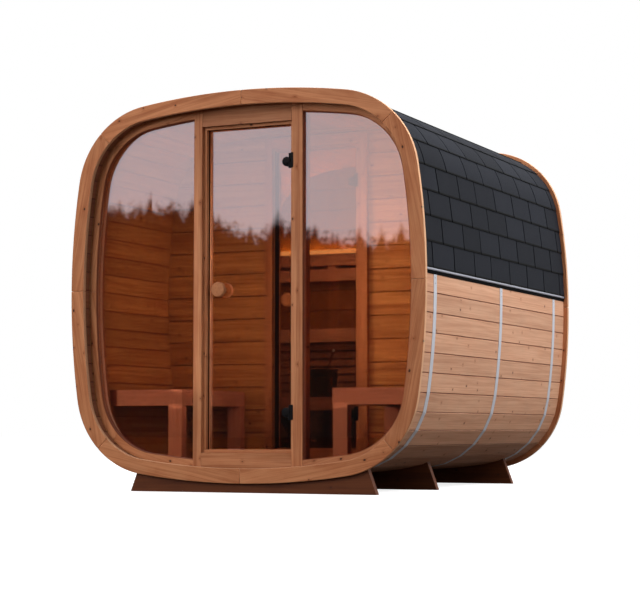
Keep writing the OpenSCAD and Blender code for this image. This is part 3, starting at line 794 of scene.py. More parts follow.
def addWindowFrames():
    low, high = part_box("window_frames")
    postLow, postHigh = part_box("front_posts")
    piece = Piece("window_frame_boards", 31)
    radius, gap = barrel["cornerRadius"], front["frameGap"]
    sag = (radius - innerDepth) * (1 - math.cos(outline.pitch / (radius - barrel["staveStep"]) / 2))
    outer, inner = innerDepth + sag + barrel["seat"], innerDepth + sag + front["frameWidth"]
    half, middle = 2 * outline.quarter, outline.middle
    right = crossing(postHigh.x, outer, middle, outline.quarter)
    left = crossing(postLow.x, outer, outline.quarter, half - middle)
    turns = [-right, -middle, 0, middle, right], [left, half - middle, half, half + middle, 2 * half - left]
    for s0, s1 in (pair for stops in turns for pair in zip(stops, stops[1:])):
        bm = arcBoard(s0 + gap, s1 - gap, outer, inner, low.y, high.y)
        for v in bm.verts:  # ends against the posts are cut upright
            if abs(v.co.z - outline.midZ) > front["postEnds"]:
                reach = postHigh.x + front["postGap"], postLow.x - front["postGap"]
                v.co.x = max(v.co.x, reach[0]) if v.co.x > 0 else min(v.co.x, reach[1])
        piece.add(soften(bm, front["bevel"]), chordGrain(s0, s1))
    piece.make(wood["frame"], "cabin", ["window_frames"], "frame_wood")


bead = {"wide": 0.0045, "back": 0.003, "gap": 0.0003, "bevel": 0.001}


def addBeads():  # beads hold the side panes from the front; their dark colour is painted shade of the pane recess
    low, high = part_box("window_glass")
    postLow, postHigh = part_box("front_posts")
    wide, gap = bead["wide"], bead["gap"]
    y0, y1 = postLow.y + bead["back"], low.y - gap
    piece = Piece("pane_beads", 95)
    depth = outline.locate(high.x, outline.midZ)[1]
    half = 2 * outline.quarter
    right = crossing(postHigh.x, depth, outline.middle, outline.quarter)
    for s0, s1 in ((-right, 0), (0, right), (half - right, half), (half, half + right)):
        piece.add(soften(arcBoard(s0, s1, depth, depth + wide, y0, y1), bead["bevel"], 1), ringGrain)
    for x, side, turn in ((postHigh.x, 1, right), (postLow.x, -1, half - right)):
        top = outline.at(turn, depth + wide).y - gap
        ends = sorted((x + side * gap, x + side * wide))
        bm = boxBoard((ends[0], y0, 2 * outline.midZ - top), (ends[1], y1, top))
        piece.add(soften(bm, bead["bevel"], 1), straightGrain(2, 1))
    piece.make(wood["bead"], "cabin", [], "frame_wood")


seal = {"thick": 0.0009, "deep": 0.014, "innerLatchDeep": 0.062, "gap": 0.0002, "glassGap": 0.002}


def addDoorSeals(lined, glass, name, latchDeep):  # black strips on the lining in front of a leaf: partly rubber seals, partly painted shade; the deep latch-side strip of the inner door is painted shade
    low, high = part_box(lined)
    wide, thick, gap = lining["wide"], seal["thick"], seal["gap"]
    y1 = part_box(glass)[0].y - seal["glassGap"]
    y0 = y1 - seal["deep"]
    piece = Piece(name, 96)
    z0, z1 = low.z + wide, high.z - wide
    piece.add(boxBoard((low.x + wide + gap, y1 - latchDeep, z0), (low.x + wide + thick, y1, z1)))
    piece.add(boxBoard((high.x - wide - thick, y0, z0), (high.x - wide - gap, y1, z1)))
    piece.add(boxBoard((low.x + wide, y0, z1 - thick), (high.x - wide, y1, z1 - gap)))
    piece.make(rubberAndShade, "cabin", [], "fitting_black")


addPosts("front_posts", 30)
addPosts("inner_posts", 32)
# front_header's tone of -2.2 paints it darker, painted shade under the ring
crossPieces = (("front_header", -2.2), ("front_sill", -1), ("inner_header", 1), ("inner_sill", 0))
for seed, (node, tone) in enumerate(crossPieces):
    addCrossPiece(node, 34 + seed, tone)
addLining("front_lining", 40)
addLining("inner_lining", 41)
addWindowFrames()
addBeads()
addDoorSeals("front_lining", "outer_door_glass", "outer_door_seals_and_shade", seal["deep"])
addDoorSeals("inner_lining", "inner_door_glass", "inner_door_seals_and_shade", seal["innerLatchDeep"])


def coat(node, material):
    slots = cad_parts[node].data.materials
    if not slots:
        slots.append(material)
    for i in range(len(slots)):
        slots[i] = material


coat("window_glass", frontGlass)
coat("outer_door_glass", frontGlass)
coat("inner_door_glass", innerGlass)
coat("steel_straps", strapSteel)
print("glass front made")


wall = {"breadth": 0.1463, "start": 0.053}
wallBoards = {"Gap": 0.004, "Groove": 0.008, "Chamfer": 0.0035}


def addWall(node, seed):
    low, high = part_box(node)
    faces = wallFaces(low.x, high.x, low.z, high.z, wall["breadth"], low.y, wall["start"])
    sizes = {"Thickness": high.y - low.y, **wallBoards}
    # rear_wall and partition_left take darker copies of the wall wood, painted shade
    look = wood[{"rear_wall": "rear", "partition_left": "dim"}.get(node, "wall")]
    boardPiece(node + "_boards", faces, look, "cabin", [node], seed, "wall_wood", **sizes)


for seed, node in enumerate(("partition_left", "partition_right", "partition_top", "rear_wall")):
    addWall(node, 50 + seed)

floor = {"boards": 12, "margin": 0.03, "gap": 0.006}


def addFloor(node, seed):
    low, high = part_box(node)
    x0, x1 = low.x + floor["margin"], high.x - floor["margin"]
    faces = deckFaces(x0, x1, low.y, high.y, high.z, floor["boards"])
    sizes = {"Thickness": high.z - low.z, "Gap": floor["gap"]}
    boardPiece(node + "_boards", faces, wood["floor"], "cabin", [node], seed, "floor_wood", **sizes)


addFloor("vestibule_floor", 60)
addFloor("hot_room_floor", 61)

cradle = {
    "left": -0.745, "right": 0.845, "lean": 0.37, "thick": 0.040, "top": 0.168, "clear": 0.0004,
    "bevel": 0.003, "fronts": (0.030, 0.963, 2.355),
}


def addCradles():
    piece = Piece("cradle_planks", 62)
    top, lean = cradle["top"], cradle["lean"]
    a, b = cradle["right"] - lean * top, cradle["left"] + lean * top
    curve = [p for p in outline.corners(barrel["staveStep"]) if p.y < top and b < p.x < a]
    curve.sort(key=lambda p: -p.x)
    points = [Vector((cradle["left"], 0)), Vector((cradle["right"], 0)), Vector((a, top))]
    points += [p - Vector((0, cradle["clear"])) for p in curve]
    points.append(Vector((b, top)))
    for y in cradle["fronts"]:
        bm = prism(points, cadLow.y + y, cadLow.y + y + cradle["thick"])
        piece.add(soften(bm, cradle["bevel"]), straightGrain(0, 2))
    piece.make(wood["cradle"], "cabin", ["cradles"], "cradle_wood")


addCradles()
print("walls, floors and cradles made")

bench = {
    "thick": 0.028, "apron": 0.097, "legWide": 0.094, "legDeep": 0.060, "boards": 5, "gap": 0.008,
    "bevel": 0.003, "joint": 0.001, "frontJoint": 0.0004, "legInset": 0.0012, "legJoint": 0.0005,
    "legBevel": 0.002,
}


def addVestibuleBench(node, side, seed):
    low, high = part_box(node)
    piece = Piece(node + "_boards", seed)
    t, apron, bevel, joint, deep = (bench[key] for key in ("thick", "apron", "bevel", "joint", "legDeep"))
    aisle, outer = (low.x, high.x) if side > 0 else (high.x, low.x)
    reach = abs(outer - aisle)

    def span(a, b):  # two distances in from the aisle, as ordered X values
        return sorted((aisle + side * a, aisle + side * b))

    addFitted(piece, *span(0, reach), high.z - apron, high.z, low.y, low.y + t, bevel)
    x0, x1 = span(0, t)
    addBox(piece, (x0, low.y + t + bench["frontJoint"], high.z - apron), (x1, high.y, high.z), bevel, (1, 2))
    step = (reach - t) / bench["boards"]
    for i in range(bench["boards"]):
        a, b = span(t + i * step + bench["gap"], t + (i + 1) * step)
        addFitted(piece, a, b, high.z - t, high.z, low.y + t + joint, high.y, bevel, (1, 0))
    x0, x1 = span(t * 0.04, bench["legWide"])
    a, b = span(t + joint, bench["legWide"])
    top = high.z - apron - bench["legJoint"]
    for y0 in (low.y + bench["legInset"], high.y - deep):
        addBox(piece, (x0, y0, low.z), (x1, y0 + deep, top), bevel)
        addBox(piece, (a, y0 + t, top), (b, y0 + deep, high.z - t - joint), bench["legBevel"])
    piece.make(wood["bench"], "cabin", [node], "bench_wood")


addVestibuleBench("vestibule_bench_left", -1, 70)
addVestibuleBench("vestibule_bench_right", 1, 71)

hotRoom = {
    "thick": 0.028, "upperFront": 0.090, "upperBoards": 5, "lowerFront": 0.082, "lowerBoards": 4,
    "gap": 0.010, "slats": 9, "slat": 0.038, "slatGap": 0.016, "slatThick": 0.020, "slatBack": 0.050,
    "slatBatten": 0.025, "battenX": 0.560, "battenWide": 0.060, "battenDeep": 0.037, "backboard": 0.085,
    "restThick": 0.024, "bevel": 0.003, "frontBevel": 0.004, "battenBevel": 0.002, "clear": 0.0005,
    "under": 0.001, "restClear": 0.0004,
}


def startBench(node, kind, seed):  # the front board, then seat boards from wall to wall
    low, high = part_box(node)
    piece = Piece(node + "_boards", seed)
    t, gap, count = hotRoom["thick"], hotRoom["gap"], hotRoom[kind + "Boards"]
    bottom = high.z - hotRoom[kind + "Front"]
    addFitted(piece, *wallToWall, bottom, high.z, low.y, low.y + t, hotRoom["frontBevel"])
    step = (high.y - low.y - t) / count
    for i in range(count):
        y0 = low.y + t + i * step + gap
        addFitted(piece, *wallToWall, high.z - t, high.z, y0, y0 + step - gap, hotRoom["bevel"], (0, 1))
    return piece, low, high, bottom


def addBattens(piece, z0, z1, y0, y1, sides=(-1, 1)):
    half = hotRoom["battenWide"] / 2
    for side in sides:
        x = side * hotRoom["battenX"]
        addBox(piece, (x - half, y0, z0), (x + half, y1, z1), hotRoom["battenBevel"])


def addUpperBench():
    piece, low, high, bottom = startBench("upper_bench", "upper", 72)
    slats = Piece("upper_bench_slats", 76)
    y1 = low.y + hotRoom["thick"] + hotRoom["slatBack"]
    for i in range(1, hotRoom["slats"] + 1):
        z = bottom - i * (hotRoom["slat"] + hotRoom["slatGap"])
        if z > low.z - hotRoom["under"]:
            addFitted(
                slats, *wallToWall, z, z + hotRoom["slat"], y1 - hotRoom["slatThick"], y1, hotRoom["bevel"],
            )
    top = high.z - hotRoom["thick"] - hotRoom["under"]
    addBattens(piece, low.z, top, y1 + hotRoom["clear"], y1 + hotRoom["slatBatten"])
    piece.make(wood["room"], "cabin", ["upper_bench"], "room_wood")
    # the slats take the darker slat wood, painted shade under the bench
    slats.make(wood["slat"], "cabin", [], "room_wood")


def addLowerBench():
    piece, low, high, _ = startBench("lower_bench", "lower", 73)
    y0, top = low.y + hotRoom["thick"], high.z - hotRoom["thick"] - hotRoom["under"]
    addBattens(piece, low.z, top, y0 + hotRoom["clear"], y0 + hotRoom["battenDeep"])
    piece.make(wood["room"], "cabin", ["lower_bench"], "room_wood")


def addBackrest():
    low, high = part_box("backrest")
    piece = Piece("backrest_boards", 74)
    board, thick = hotRoom["backboard"], hotRoom["restThick"]
    for z in (low.z, high.z - board):
        addFitted(piece, *wallToWall, z, z + board, low.y, low.y + thick, hotRoom["frontBevel"])
    addBattens(piece, low.z, high.z, low.y + thick + hotRoom["restClear"], high.y, (-1, 0, 1))
    piece.make(wood["room"], "cabin", ["backrest"], "room_wood")


glow = {"bottom": 0.0005, "top": 0.030, "front": 0.004, "back": 0.020, "bevel": 0.002}


def addGlowStrip():  # the light over the backrest
    low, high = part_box("backrest")
    piece = Piece("light_strip", 75)
    z0, z1 = high.z + glow["bottom"], high.z + glow["top"]
    addFitted(piece, *wallToWall, z0, z1, low.y + glow["front"], low.y + glow["back"], glow["bevel"])
    piece.make(warmGlow, "cabin", [])


addUpperBench()
addLowerBench()
addBackrest()
addGlowStrip()
print("benches made")


def turned(profile, base, axis, steps=40, lean=0.0):  # a lathe form standing on base along an axis
    bm = lathe(profile, steps)
    bmesh.ops.remove_doubles(bm, verts=bm.verts, dist=0.00001)
    tip = Matrix.Rotation(math.radians({"z": 0, "-y": 90, "y": -90}[axis]), 4, "X")
    matrix = Matrix.Translation(base) @ Matrix.Rotation(lean, 4, "Y") @ tip
    bmesh.ops.transform(bm, matrix=matrix, verts=bm.verts)
    bmesh.ops.recalc_face_normals(bm, faces=bm.faces)
    return bm


def disc(radius, height, curve):  # profile of a puck with a rounded front edge
    profile = [(0, 0), (radius - 0.001, 0), (radius, 0.001)]
    for i in range(5):
        angle = math.radians(90 * i / 4)
        profile.append((radius - curve + curve * math.cos(angle), height - curve + curve * math.sin(angle)))
    return profile + [(0, height + 0.0004)]


def centres(node, radius):  # the two heights of round parts that end with the node's box
    low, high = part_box(node)
    return low.z + radius, high.z - radius


knob = {"radius": 0.044, "reach": 0.062, "neck": 0.0185, "foot": 0.025, "head": 0.030, "steps": 56}


def addKnobs(door, seed):
    low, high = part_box(door + "_knobs")
    paneLow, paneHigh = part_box(door + "_glass")
    x, z = (low.x + high.x) / 2, (low.z + high.z) / 2
    r, n, reach, foot = knob["radius"], knob["neck"], knob["reach"], knob["foot"]
    back = reach - knob["head"]
    profile = [
        (0, 0), (foot, 0), (foot, 0.003), (n + 0.002, 0.006), (n, 0.012), (n, back - 0.004),
        (n + 0.003, back - 0.001), (r - 0.006, back), (r - 0.002, back + 0.002), (r, back + 0.006),
        (r, reach - 0.008),
        (r - 0.0016, reach - 0.0035), (r - 0.0045, reach - 0.001), (r - 0.010, reach), (0, reach),
    ]
    piece = Piece(door + "_knobs_turned", seed)
    for y, axis in ((paneLow.y, "-y"), (paneHigh.y, "y")):
        piece.add(turned(profile, (x, y, z), axis, knob["steps"]), straightGrain(1, 0))
    piece.make(wood["knob"], door, [door + "_knobs"], "knob_wood")


hinge = {
    "clampRadius": 0.028, "clampReach": 0.028, "backReach": 0.006, "clampCurve": 0.004,
    "backCurve": 0.002, "capRadius": 0.0085, "capReach": 0.0022, "capCurve": 0.0012, "arm": 0.026,
    "armIn": 0.001, "armGap": 0.0008, "armBevel": 0.0015, "knuckle": 0.006, "pin": 0.0035, "bore": 0.0036,
    "knuckleTall": 0.028, "tall": 0.088, "plate": 0.004, "pinBack": 0.020, "play": 0.0003, "trim": 0.003,
    "webThick": 0.005, "webDeep": 0.028, "lug": 0.004, "lugIn": 0.002, "plateBevel": 0.0012,
    "bevel": 0.0008, "screwIn": 0.0095, "screwUp": 0.030, "screwRadius": 0.0042,
}


def tube(outer, inner, z0, z1, chamfer=0.0006):
    return [
        (inner, z0), (outer - chamfer, z0), (outer, z0 + chamfer),
        (outer, z1 - chamfer), (outer - chamfer, z1), (inner, z1), (inner, z0),
    ]


def hingePlan(door, posts):  # the pin's X and Y, the front of the post and the heights of both hinges
    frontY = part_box(posts)[0].y
    clamps = door + "_clamps"
    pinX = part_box(clamps)[1].x - hinge["knuckle"]
    return pinX, frontY + hinge["pinBack"], frontY, centres(clamps, hinge["clampRadius"])


def addClamps(door, posts, seed):
    node = door + "_clamps"
    paneLow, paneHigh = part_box(door + "_glass")
    r, bore, knuckle = hinge["clampRadius"], hinge["bore"], hinge["knuckle"]
    pinX, pinY, _, heights = hingePlan(door, posts)
    x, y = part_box(node)[0].x + r, paneLow.y - hinge["clampReach"]
    piece = Piece(node + "_turned", seed)
    arm, tall = hinge["arm"] / 2, hinge["knuckleTall"] / 2
    cap = disc(hinge["capRadius"], hinge["capReach"], hinge["capCurve"])
    for z in heights:
        piece.add(turned(disc(r, hinge["clampReach"], hinge["clampCurve"]), (x, paneLow.y, z), "-y", 48))
        piece.add(turned(disc(r, hinge["backReach"], hinge["backCurve"]), (x, paneHigh.y, z), "y", 48))
        piece.add(turned(cap, (x, y, z), "-y", 24))
        corner = pinX - bore - hinge["armGap"], y + hinge["armIn"], z + arm
        addBox(piece, (x, pinY - knuckle, z - arm), corner, hinge["armBevel"])
        piece.add(turned(tube(knuckle, bore, z - tall, z + tall), (pinX, pinY, 0), "z", 28))
    piece.make(blackPaint, door, [node], "fitting_black")


doors = (("outer_door", "front_posts"), ("inner_door", "inner_posts"))


def addHinges(seed):
    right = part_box("door_hinges")[1].x - hinge["trim"]
    piece = Piece("hinge_plates", seed)
    edge, lug, pin = front["hingeX"], hinge["lug"], hinge["pin"]
    half, gap = hinge["tall"] / 2, hinge["knuckleTall"] / 2 + hinge["play"]
    outerX = edge - hinge["webThick"]
    for door, posts in doors:
        pinX, pinY, frontY, heights = hingePlan(door, posts)
        for z in heights:
            corner = right, frontY, z + half
            addBox(piece, (outerX, frontY - hinge["plate"], z - half), corner, hinge["plateBevel"])
            corner = edge, frontY + hinge["webDeep"], z + half
            addBox(piece, (outerX, frontY, z - half), corner, hinge["bevel"])
            for z0, z1 in ((z - half, z - gap), (z + gap, z + half)):
                corners = (pinX + hinge["lugIn"], pinY - lug, z0), (edge - lug, pinY + lug, z1)
                addBox(piece, *corners, hinge["bevel"])
                piece.add(turned(tube(hinge["knuckle"], pin * 0.6, z0, z1), (pinX, pinY, 0), "z", 28))
            piece.add(turned([(0, -half), (pin, -half), (pin, half), (0, half)], (pinX, pinY, z), "z", 28))
    piece.make(blackPaint, "cabin", ["door_hinges"], "fitting_black")


for seed, (door, _) in enumerate(doors):
    addKnobs(door, 80 + seed)
for seed, (door, posts) in enumerate(doors):
    addClamps(door, posts, 82 + seed)
addHinges(84)
print("door fittings made")

bucket = {
    "wall": 0.012, "rim": 0.014, "foot": 0.014, "hoop": 0.020, "hoopThick": 0.0025, "lowHoop": 0.020,
    "highHoop": 0.055, "rimOut": 0.005, "steps": 56,
}


def addBucket():
    low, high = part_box("bucket")
    r, tall = (high.x - low.x) / 2, high.z - low.z
    centre = ((low.x + high.x) / 2, (low.y + high.y) / 2, low.z)
    foot, thick, rim = r - bucket["foot"], bucket["wall"], tall - bucket["rim"]
    body = r - bucket["rimOut"]

    def side(height):
        return foot + (body - foot) * height / rim

    profile = [(0, 0), (foot - 0.003, 0), (foot, 0.003)]
    hoop, out = bucket["hoop"], bucket["hoopThick"]
    for band in (bucket["lowHoop"], tall - bucket["highHoop"]):
        profile += [(side(band), band), (side(band) + out, band + 0.002)]
        profile += [(side(band + 0.018) + out, band + 0.018), (side(band + hoop), band + hoop)]
    profile += [(body, rim), (r - 0.001, rim + 0.001), (r, rim + 0.003), (r, tall - 0.004)]
    profile += [(r - 0.003, tall), (r - thick, tall), (r - thick - 0.004, rim)]
    profile += [(foot - thick, thick), (0, thick)]
    piece = Piece("bucket_turned", 85)
    piece.add(turned(profile, centre, "z", bucket["steps"]))
    piece.make(bucketBlack, "cabin", ["bucket"], "bucket_black")
    return centre[0], centre[1], low.z + thick


ladle = {"in": 0.020, "lean": 21, "long": 0.330, "radius": 0.009, "tip": 0.020, "clear": 0.0003, "steps": 20}


def addLadle(x, y, z):  # leans on the rim from the inside of the bucket's bottom
    lean, rod, long = math.radians(ladle["lean"]), ladle["radius"], ladle["long"]
    base = x - ladle["in"], y, z + ladle["clear"] + rod * math.sin(lean)
    stop = long - ladle["tip"]
    stem = [(0, 0), (rod * 0.7, 0), (rod * 0.7, long * 0.6), (rod * 0.95, long * 0.85)]
    stem += [(rod * 0.9, stop), (0, stop)]
    start = stop + 0.0005
    end = [(0, start), (rod, start), (rod, long - 0.006), (rod * 0.7, long - 0.001), (0, long)]
    handle, tip = Piece("ladle_handle", 86), Piece("ladle_tip", 87)
    handle.add(turned(stem, base, "z", ladle["steps"], lean))
    handle.make(wood["cradle"], "cabin", ["ladle"], "knob_wood")
    tip.add(turned(end, base, "z", ladle["steps"], lean))
    tip.make(strapSteel, "cabin", [], "strap_steel")


addLadle(*addBucket())

roof = {
    "eaveS": 0.074, "course": 0.1482, "tab": 0.3475, "narrow": 0.055, "narrowAt": 3, "firstSlot": -1.165,
    "gap": 0.014, "thick": 0.0042, "rows": 13, "columns": 10, "stations": 120, "inset": 0.001, "seed": 4,
    "capReach": 0.115, "capLong": 0.190, "capThick": 0.004, "capLap": 0.06, "capLeast": 0.02,
    "capDrop": 0.0086, "capBevel": 0.0012,
}


def shingleTabs(m, given):  # a flat field of tabs, each with its lower edge raised
    course, tab, gap, thick = (given[key] for key in ("Course", "Tab", "Gap", "Thick"))
    cells = m.add("GeometryNodePoints", None, Count=m.func("MULTIPLY", given["Rows"], given["Columns"]))
    number = m.add("GeometryNodeInputIndex")
    row = m.func("FLOOR", (number + 0.5) / given["Columns"])
    column = number - row * given["Columns"]
    first = given["First"] - tab - m.func("MODULO", row, 2.0) * tab * 0.5
    past = m.func("GREATER_THAN", column, given["Narrow At"] + 0.5)
    slim = m.func("COMPARE", column, given["Narrow At"], 0.5)
    afterSlim = m.func("COMPARE", column, given["Narrow At"] + 1.0, 0.5)
    lowEdge = first + column * tab - past * given["Narrow"]
    wide = tab - slim * given["Narrow"]
    seam = gap - (slim + afterSlim) * gap * 0.35
    chance = m.add("FunctionNodeRandomValue", {"data_type": "FLOAT"}, out=1)
    for socket, value in ((2, -1.0), (3, 1.0), ("Seed", given["Seed"])):
        m.put(chance.socket.node.inputs[socket], value)
    cells = m.store(cells, "tone", chance)
    cells = m.move(cells, Position=m.join(row * course, lowEdge + wide * 0.5, 0.0))
    slab = m.move(m.slab(m.join(course, 1.0, thick), 7), Offset=m.join(course * 0.5, 0.0, thick * 0.5))
    along = m.split(m.add("GeometryNodeInputPosition"))[0]
    # up runs from a tab's lower edge to its top; it lifts the edge and masks the painted course shadow
    slab = m.store(slab, "up", along / course)
    scale = m.join(1.0, wide - seam, 1.0)
    tabs = m.add("GeometryNodeInstanceOnPoints", None, Points=cells, Instance=slab, Scale=scale)
    tabs = m.add("GeometryNodeRealizeInstances", None, tabs)
    return m.move(tabs, Offset=m.join(0.0, 0.0, (1.0 - m.named("up")) * thick))


def shingleShadeSheet(m, given):  # a sheet under the tabs shows in the slots; its tone of -5 paints it black, painted shade in the slots
    long, ends = given["Length"], (given["Rear"], given["Front"])
    shadeSheet = m.slab(m.join(long, ends[0] - ends[1], 0.0008), 90)
    shadeSheet = m.move(shadeSheet, Offset=m.join(long * 0.5, (ends[0] + ends[1]) * 0.5, 0.0006))
    return m.store(m.store(shadeSheet, "tone", -5.0), "up", 1.0)


def shingleTree(sizes):
    tree, m, given = nodeTree("shingles", sizes)
    both = m.together(shingleTabs(m, given), shingleShadeSheet(m, given))
    along, across, above = m.split(m.add("GeometryNodeInputPosition"))
    line = m.add(
        "GeometryNodeSampleCurve", {"mode": "LENGTH", "use_all_curves": True},
        Curves=m.add("GeometryNodeMeshToCurve", None, given["Geometry"]),
        Length=m.func("MINIMUM", along, given["Length"]),
    )
    outward = m.vector("CROSS_PRODUCT", (0.0, 1.0, 0.0), line["Tangent"])
    lifted = m.vector("SCALE", outward, Scale=above * given["Side"])
    across = m.func("MINIMUM", m.func("MAXIMUM", across, given["Front"]), given["Rear"])
    final = m.vector("ADD", m.vector("ADD", line["Position"], lifted), m.join(0.0, across, 0.0))
    welded = m.add("GeometryNodeMergeByDistance", None, m.move(both, Position=final), Distance=0.00005)
    closeTree(m, welded, given["Material"])
    return tree


def roofLine(name, side, length):  # from the eave to the ridge
    count = roof["stations"]
    stations = [roof["eaveS"] + length * i / count for i in range(count + 1)]
    if side < 0:
        stations = [2 * outline.quarter - s for s in stations]
    points = [outline.at(s, barrel["staveStep"]) for s in stations]
    mesh = bpy.data.meshes.new(name)
    mesh.from_pydata([(p.x, 0, p.y) for p in points], [(i, i + 1) for i in range(count)], [])
    return mesh


def addRoof():
    low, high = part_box("roof_right")
    length = outline.quarter - roof["eaveS"]
    sizes = {
        "Rows": roof["rows"], "Columns": roof["columns"], "Course": roof["course"], "Tab": roof["tab"],
        "Narrow": roof["narrow"], "Narrow At": roof["narrowAt"], "First": roof["firstSlot"],
        "Gap": roof["gap"], "Thick": roof["thick"], "Front": low.y + roof["inset"],
        "Rear": high.y - roof["inset"], "Length": length, "Side": 1.0, "Seed": roof["seed"],
        "Material": None,
    }
    tree = shingleTree(sizes)
    for node, side in (("roof_right", 1), ("roof_left", -1)):
        values = {**sizes, "Side": float(side), "Seed": roof["seed"] + side, "Material": shingle}
        grown = grow(node + "_shingles", roofLine(node + "Line", side, length), tree, values)
        bm = bmesh.new()
        bm.from_mesh(grown)
        bmesh.ops.dissolve_degenerate(bm, dist=0.00005, edges=bm.edges)
        bmesh.ops.recalc_face_normals(bm, faces=bm.faces)
        bm.to_mesh(grown)
        bm.free()
        place(node + "_shingles", grown, None, "cabin", [node], "shingle")


def addRidge():
    low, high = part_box("roof_right")
    piece = Piece("ridge_caps", 90)
    s0, s1 = outline.quarter - roof["capReach"], outline.quarter + roof["capReach"]
    y, last, thick = low.y + roof["inset"], high.y - roof["inset"], roof["capThick"]
    lift = barrel["staveStep"] - roof["capDrop"]
    while y < high.y - roof["capLeast"]:
        end = min(y + roof["capLong"] + roof["capLap"], last)
        bm = arcBoard(s0, s1, lift - thick, lift, y, end)
        for v in bm.verts:  # each cap rises over the one before it
            v.co.z += thick * (1 - (v.co.y - y) / (end - y))
        piece.add(soften(bm, roof["capBevel"], 1), ringGrain)
        y += roof["capLong"]
    caps = piece.make(shingle, "cabin", [], "shingle").data
    # up of 1 keeps the painted course shadow off the caps
    caps.attributes.new("up", "FLOAT", "POINT").data.foreach_set("value", [1.0] * len(caps.vertices))


addRoof()
addRidge()

eave = {
    "low": 0.040, "parting": 0.059, "high": 0.0725, "bar": 0.0105, "fascia": 0.005, "foot": 0.001,
    "chamfer": 0.002, "lip": 0.0021, "cap": 0.012, "gap": 0.0002, "trim": 0.0005, "capBevel": 0.001,
    "bevel": 0.0006,
}


def sweep(profile, y0, y1, side):  # a closed profile of (s, height) points drawn along the barrel
    points = []
    for s, height in profile:
        p = outline.at(s if side > 0 else 2 * outline.quarter - s, barrel["staveStep"] - height)
        points.append((p.x, p.y))
    bm = prism(points, y0, y1)
    bmesh.ops.recalc_face_normals(bm, faces=bm.faces)
    return bm


def addEaves():
    low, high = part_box("eave_strips")
    y0, y1 = low.y + eave["trim"], high.y - eave["trim"]
    bars, fascia = Piece("eave_bars", 91), Piece("eave_fascia", 92)
    parting, cap, thick, foot = eave["parting"], eave["cap"], eave["fascia"], eave["foot"]
    middle, half = (parting + eave["high"]) / 2, (eave["high"] - parting) / 2
    rounded = [(eave["high"], foot)]
    for i in range(9):
        angle = math.radians(90 - 180 * i / 8)
        up = eave["bar"] - half * 0.5 + half * 0.5 * math.cos(angle)
        rounded.append((middle + half * math.sin(angle), up))
    rounded.append((parting, foot))
    wider = [(s + (s - middle) * 0.06, h * 1.04) for s, h in rounded]
    edge = parting - 0.0003
    below = [(edge, foot), (edge, thick), (eave["low"] + eave["chamfer"], thick)]
    below += [(eave["low"], thick - eave["chamfer"]), (eave["low"], eave["lip"])]
    short = cap - eave["gap"]
    for side in (1, -1):
        bars.add(sweep(rounded, y0 + cap, y1 - cap, side), ringGrain)
        for a, b in ((y0, y0 + short), (y1 - short, y1)):  # plastic end caps
            fascia.add(soften(sweep(wider, a, b, side), eave["capBevel"], 1), ringGrain)
        # the fascia under the bar is near black: partly its dark metal, partly painted shade
        fascia.add(soften(sweep(below, y0, y1, side), eave["bevel"], 1), ringGrain)
    bars.make(eaveLight, "cabin", ["eave_strips"], "eave_metal")
    fascia.make(eaveBlackAndShade, "cabin", [], "eave_metal")


addEaves()
print("roof made")


def screwTree():
    tree, m, given = nodeTree("screws", {"Radius": 0.004, "Height": 0.0014, "Material": None})
    radius, height = given["Radius"], given["Height"]
    head = m.add(
        "GeometryNodeMeshCone", None, Vertices=18, Depth=height,
        Radius_Top=radius * 0.72, Radius_Bottom=radius,
    )
    top = m.func("GREATER_THAN", m.split(m.add("GeometryNodeInputNormal"))[2], 0.9)
    faces = {"mode": "FACES"}
    rim = m.add("GeometryNodeExtrudeMesh", faces, Mesh=head, Selection=top, Offset_Scale=0.0)
    face = rim["Top"]
    inner = m.add("GeometryNodeScaleElements", {"domain": "FACE"}, Geometry=rim, Selection=face, Scale=0.55)
    well = m.add("GeometryNodeExtrudeMesh", faces, Mesh=inner, Selection=face, Offset_Scale=height * -0.6)
    aim = m.add("FunctionNodeAlignRotationToVector", {"axis": "Z"}, Vector=m.named("facing", "FLOAT_VECTOR"))
    dots = m.add("GeometryNodeMeshToPoints", None, given["Geometry"])
    heads = m.add("GeometryNodeInstanceOnPoints", None, Points=dots, Instance=well, Rotation=aim)
    closeTree(m, heads, given["Material"])
    return tree


screws = screwTree()


def addScrews(name, spots, body, material, radius=0.004, slot=None):  # spots: (place, facing) pairs
    mesh = bpy.data.meshes.new(name + "Spots")
    mesh.from_pydata([Vector(p) for p, _ in spots], [], [])
    facing = mesh.attributes.new("facing", "FLOAT_VECTOR", "POINT")
    facing.data.foreach_set("vector", [c for _, n in spots for c in n])
    grown = grow(name, mesh, screws, {"Radius": radius, "Height": radius * 0.35, "Material": material})
    place(name, grown, None, body, [], slot)


strap = {"end": 0.023, "middle": 1.351, "high": 0.022, "low": -0.010, "out": 0.0018, "radius": 0.0055}


def addStrapScrews():
    low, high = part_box("steel_straps")
    half, height = 2 * outline.quarter, barrel["staveStep"] - strap["out"]
    spots = []
    for y in (low.y + strap["end"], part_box("front_ring_a")[0].y + strap["middle"], high.y - strap["end"]):
        for turn in (strap["high"], half - strap["high"], strap["low"], half - strap["low"]):
            p, inward = outline.at(turn, height), outline.at(turn, barrel["cornerRadius"])
            away = (p - inward).normalized()
            spots.append(((p.x, y, p.y), (away.x, 0, away.y)))
    addScrews("strap_screws", spots, "cabin", strapSteel, strap["radius"], "strap_steel")


def addHingeScrews():
    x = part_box("door_hinges")[1].x - hinge["screwIn"]
    spots = []
    for door, posts in doors:
        _, _, frontY, heights = hingePlan(door, posts)
        for z in heights:
            for up in (-hinge["screwUp"], hinge["screwUp"]):
                spots.append(((x, frontY - hinge["plate"], z + up), (0, -1, 0)))
    addScrews("hinge_screws", spots, "cabin", blackPaint, hinge["screwRadius"], "fitting_black")


addStrapScrews()
addHingeScrews()
print("screws made")

stage = {"half": 60, "near": 7.0, "far": 14.0, "lift": 0.82}


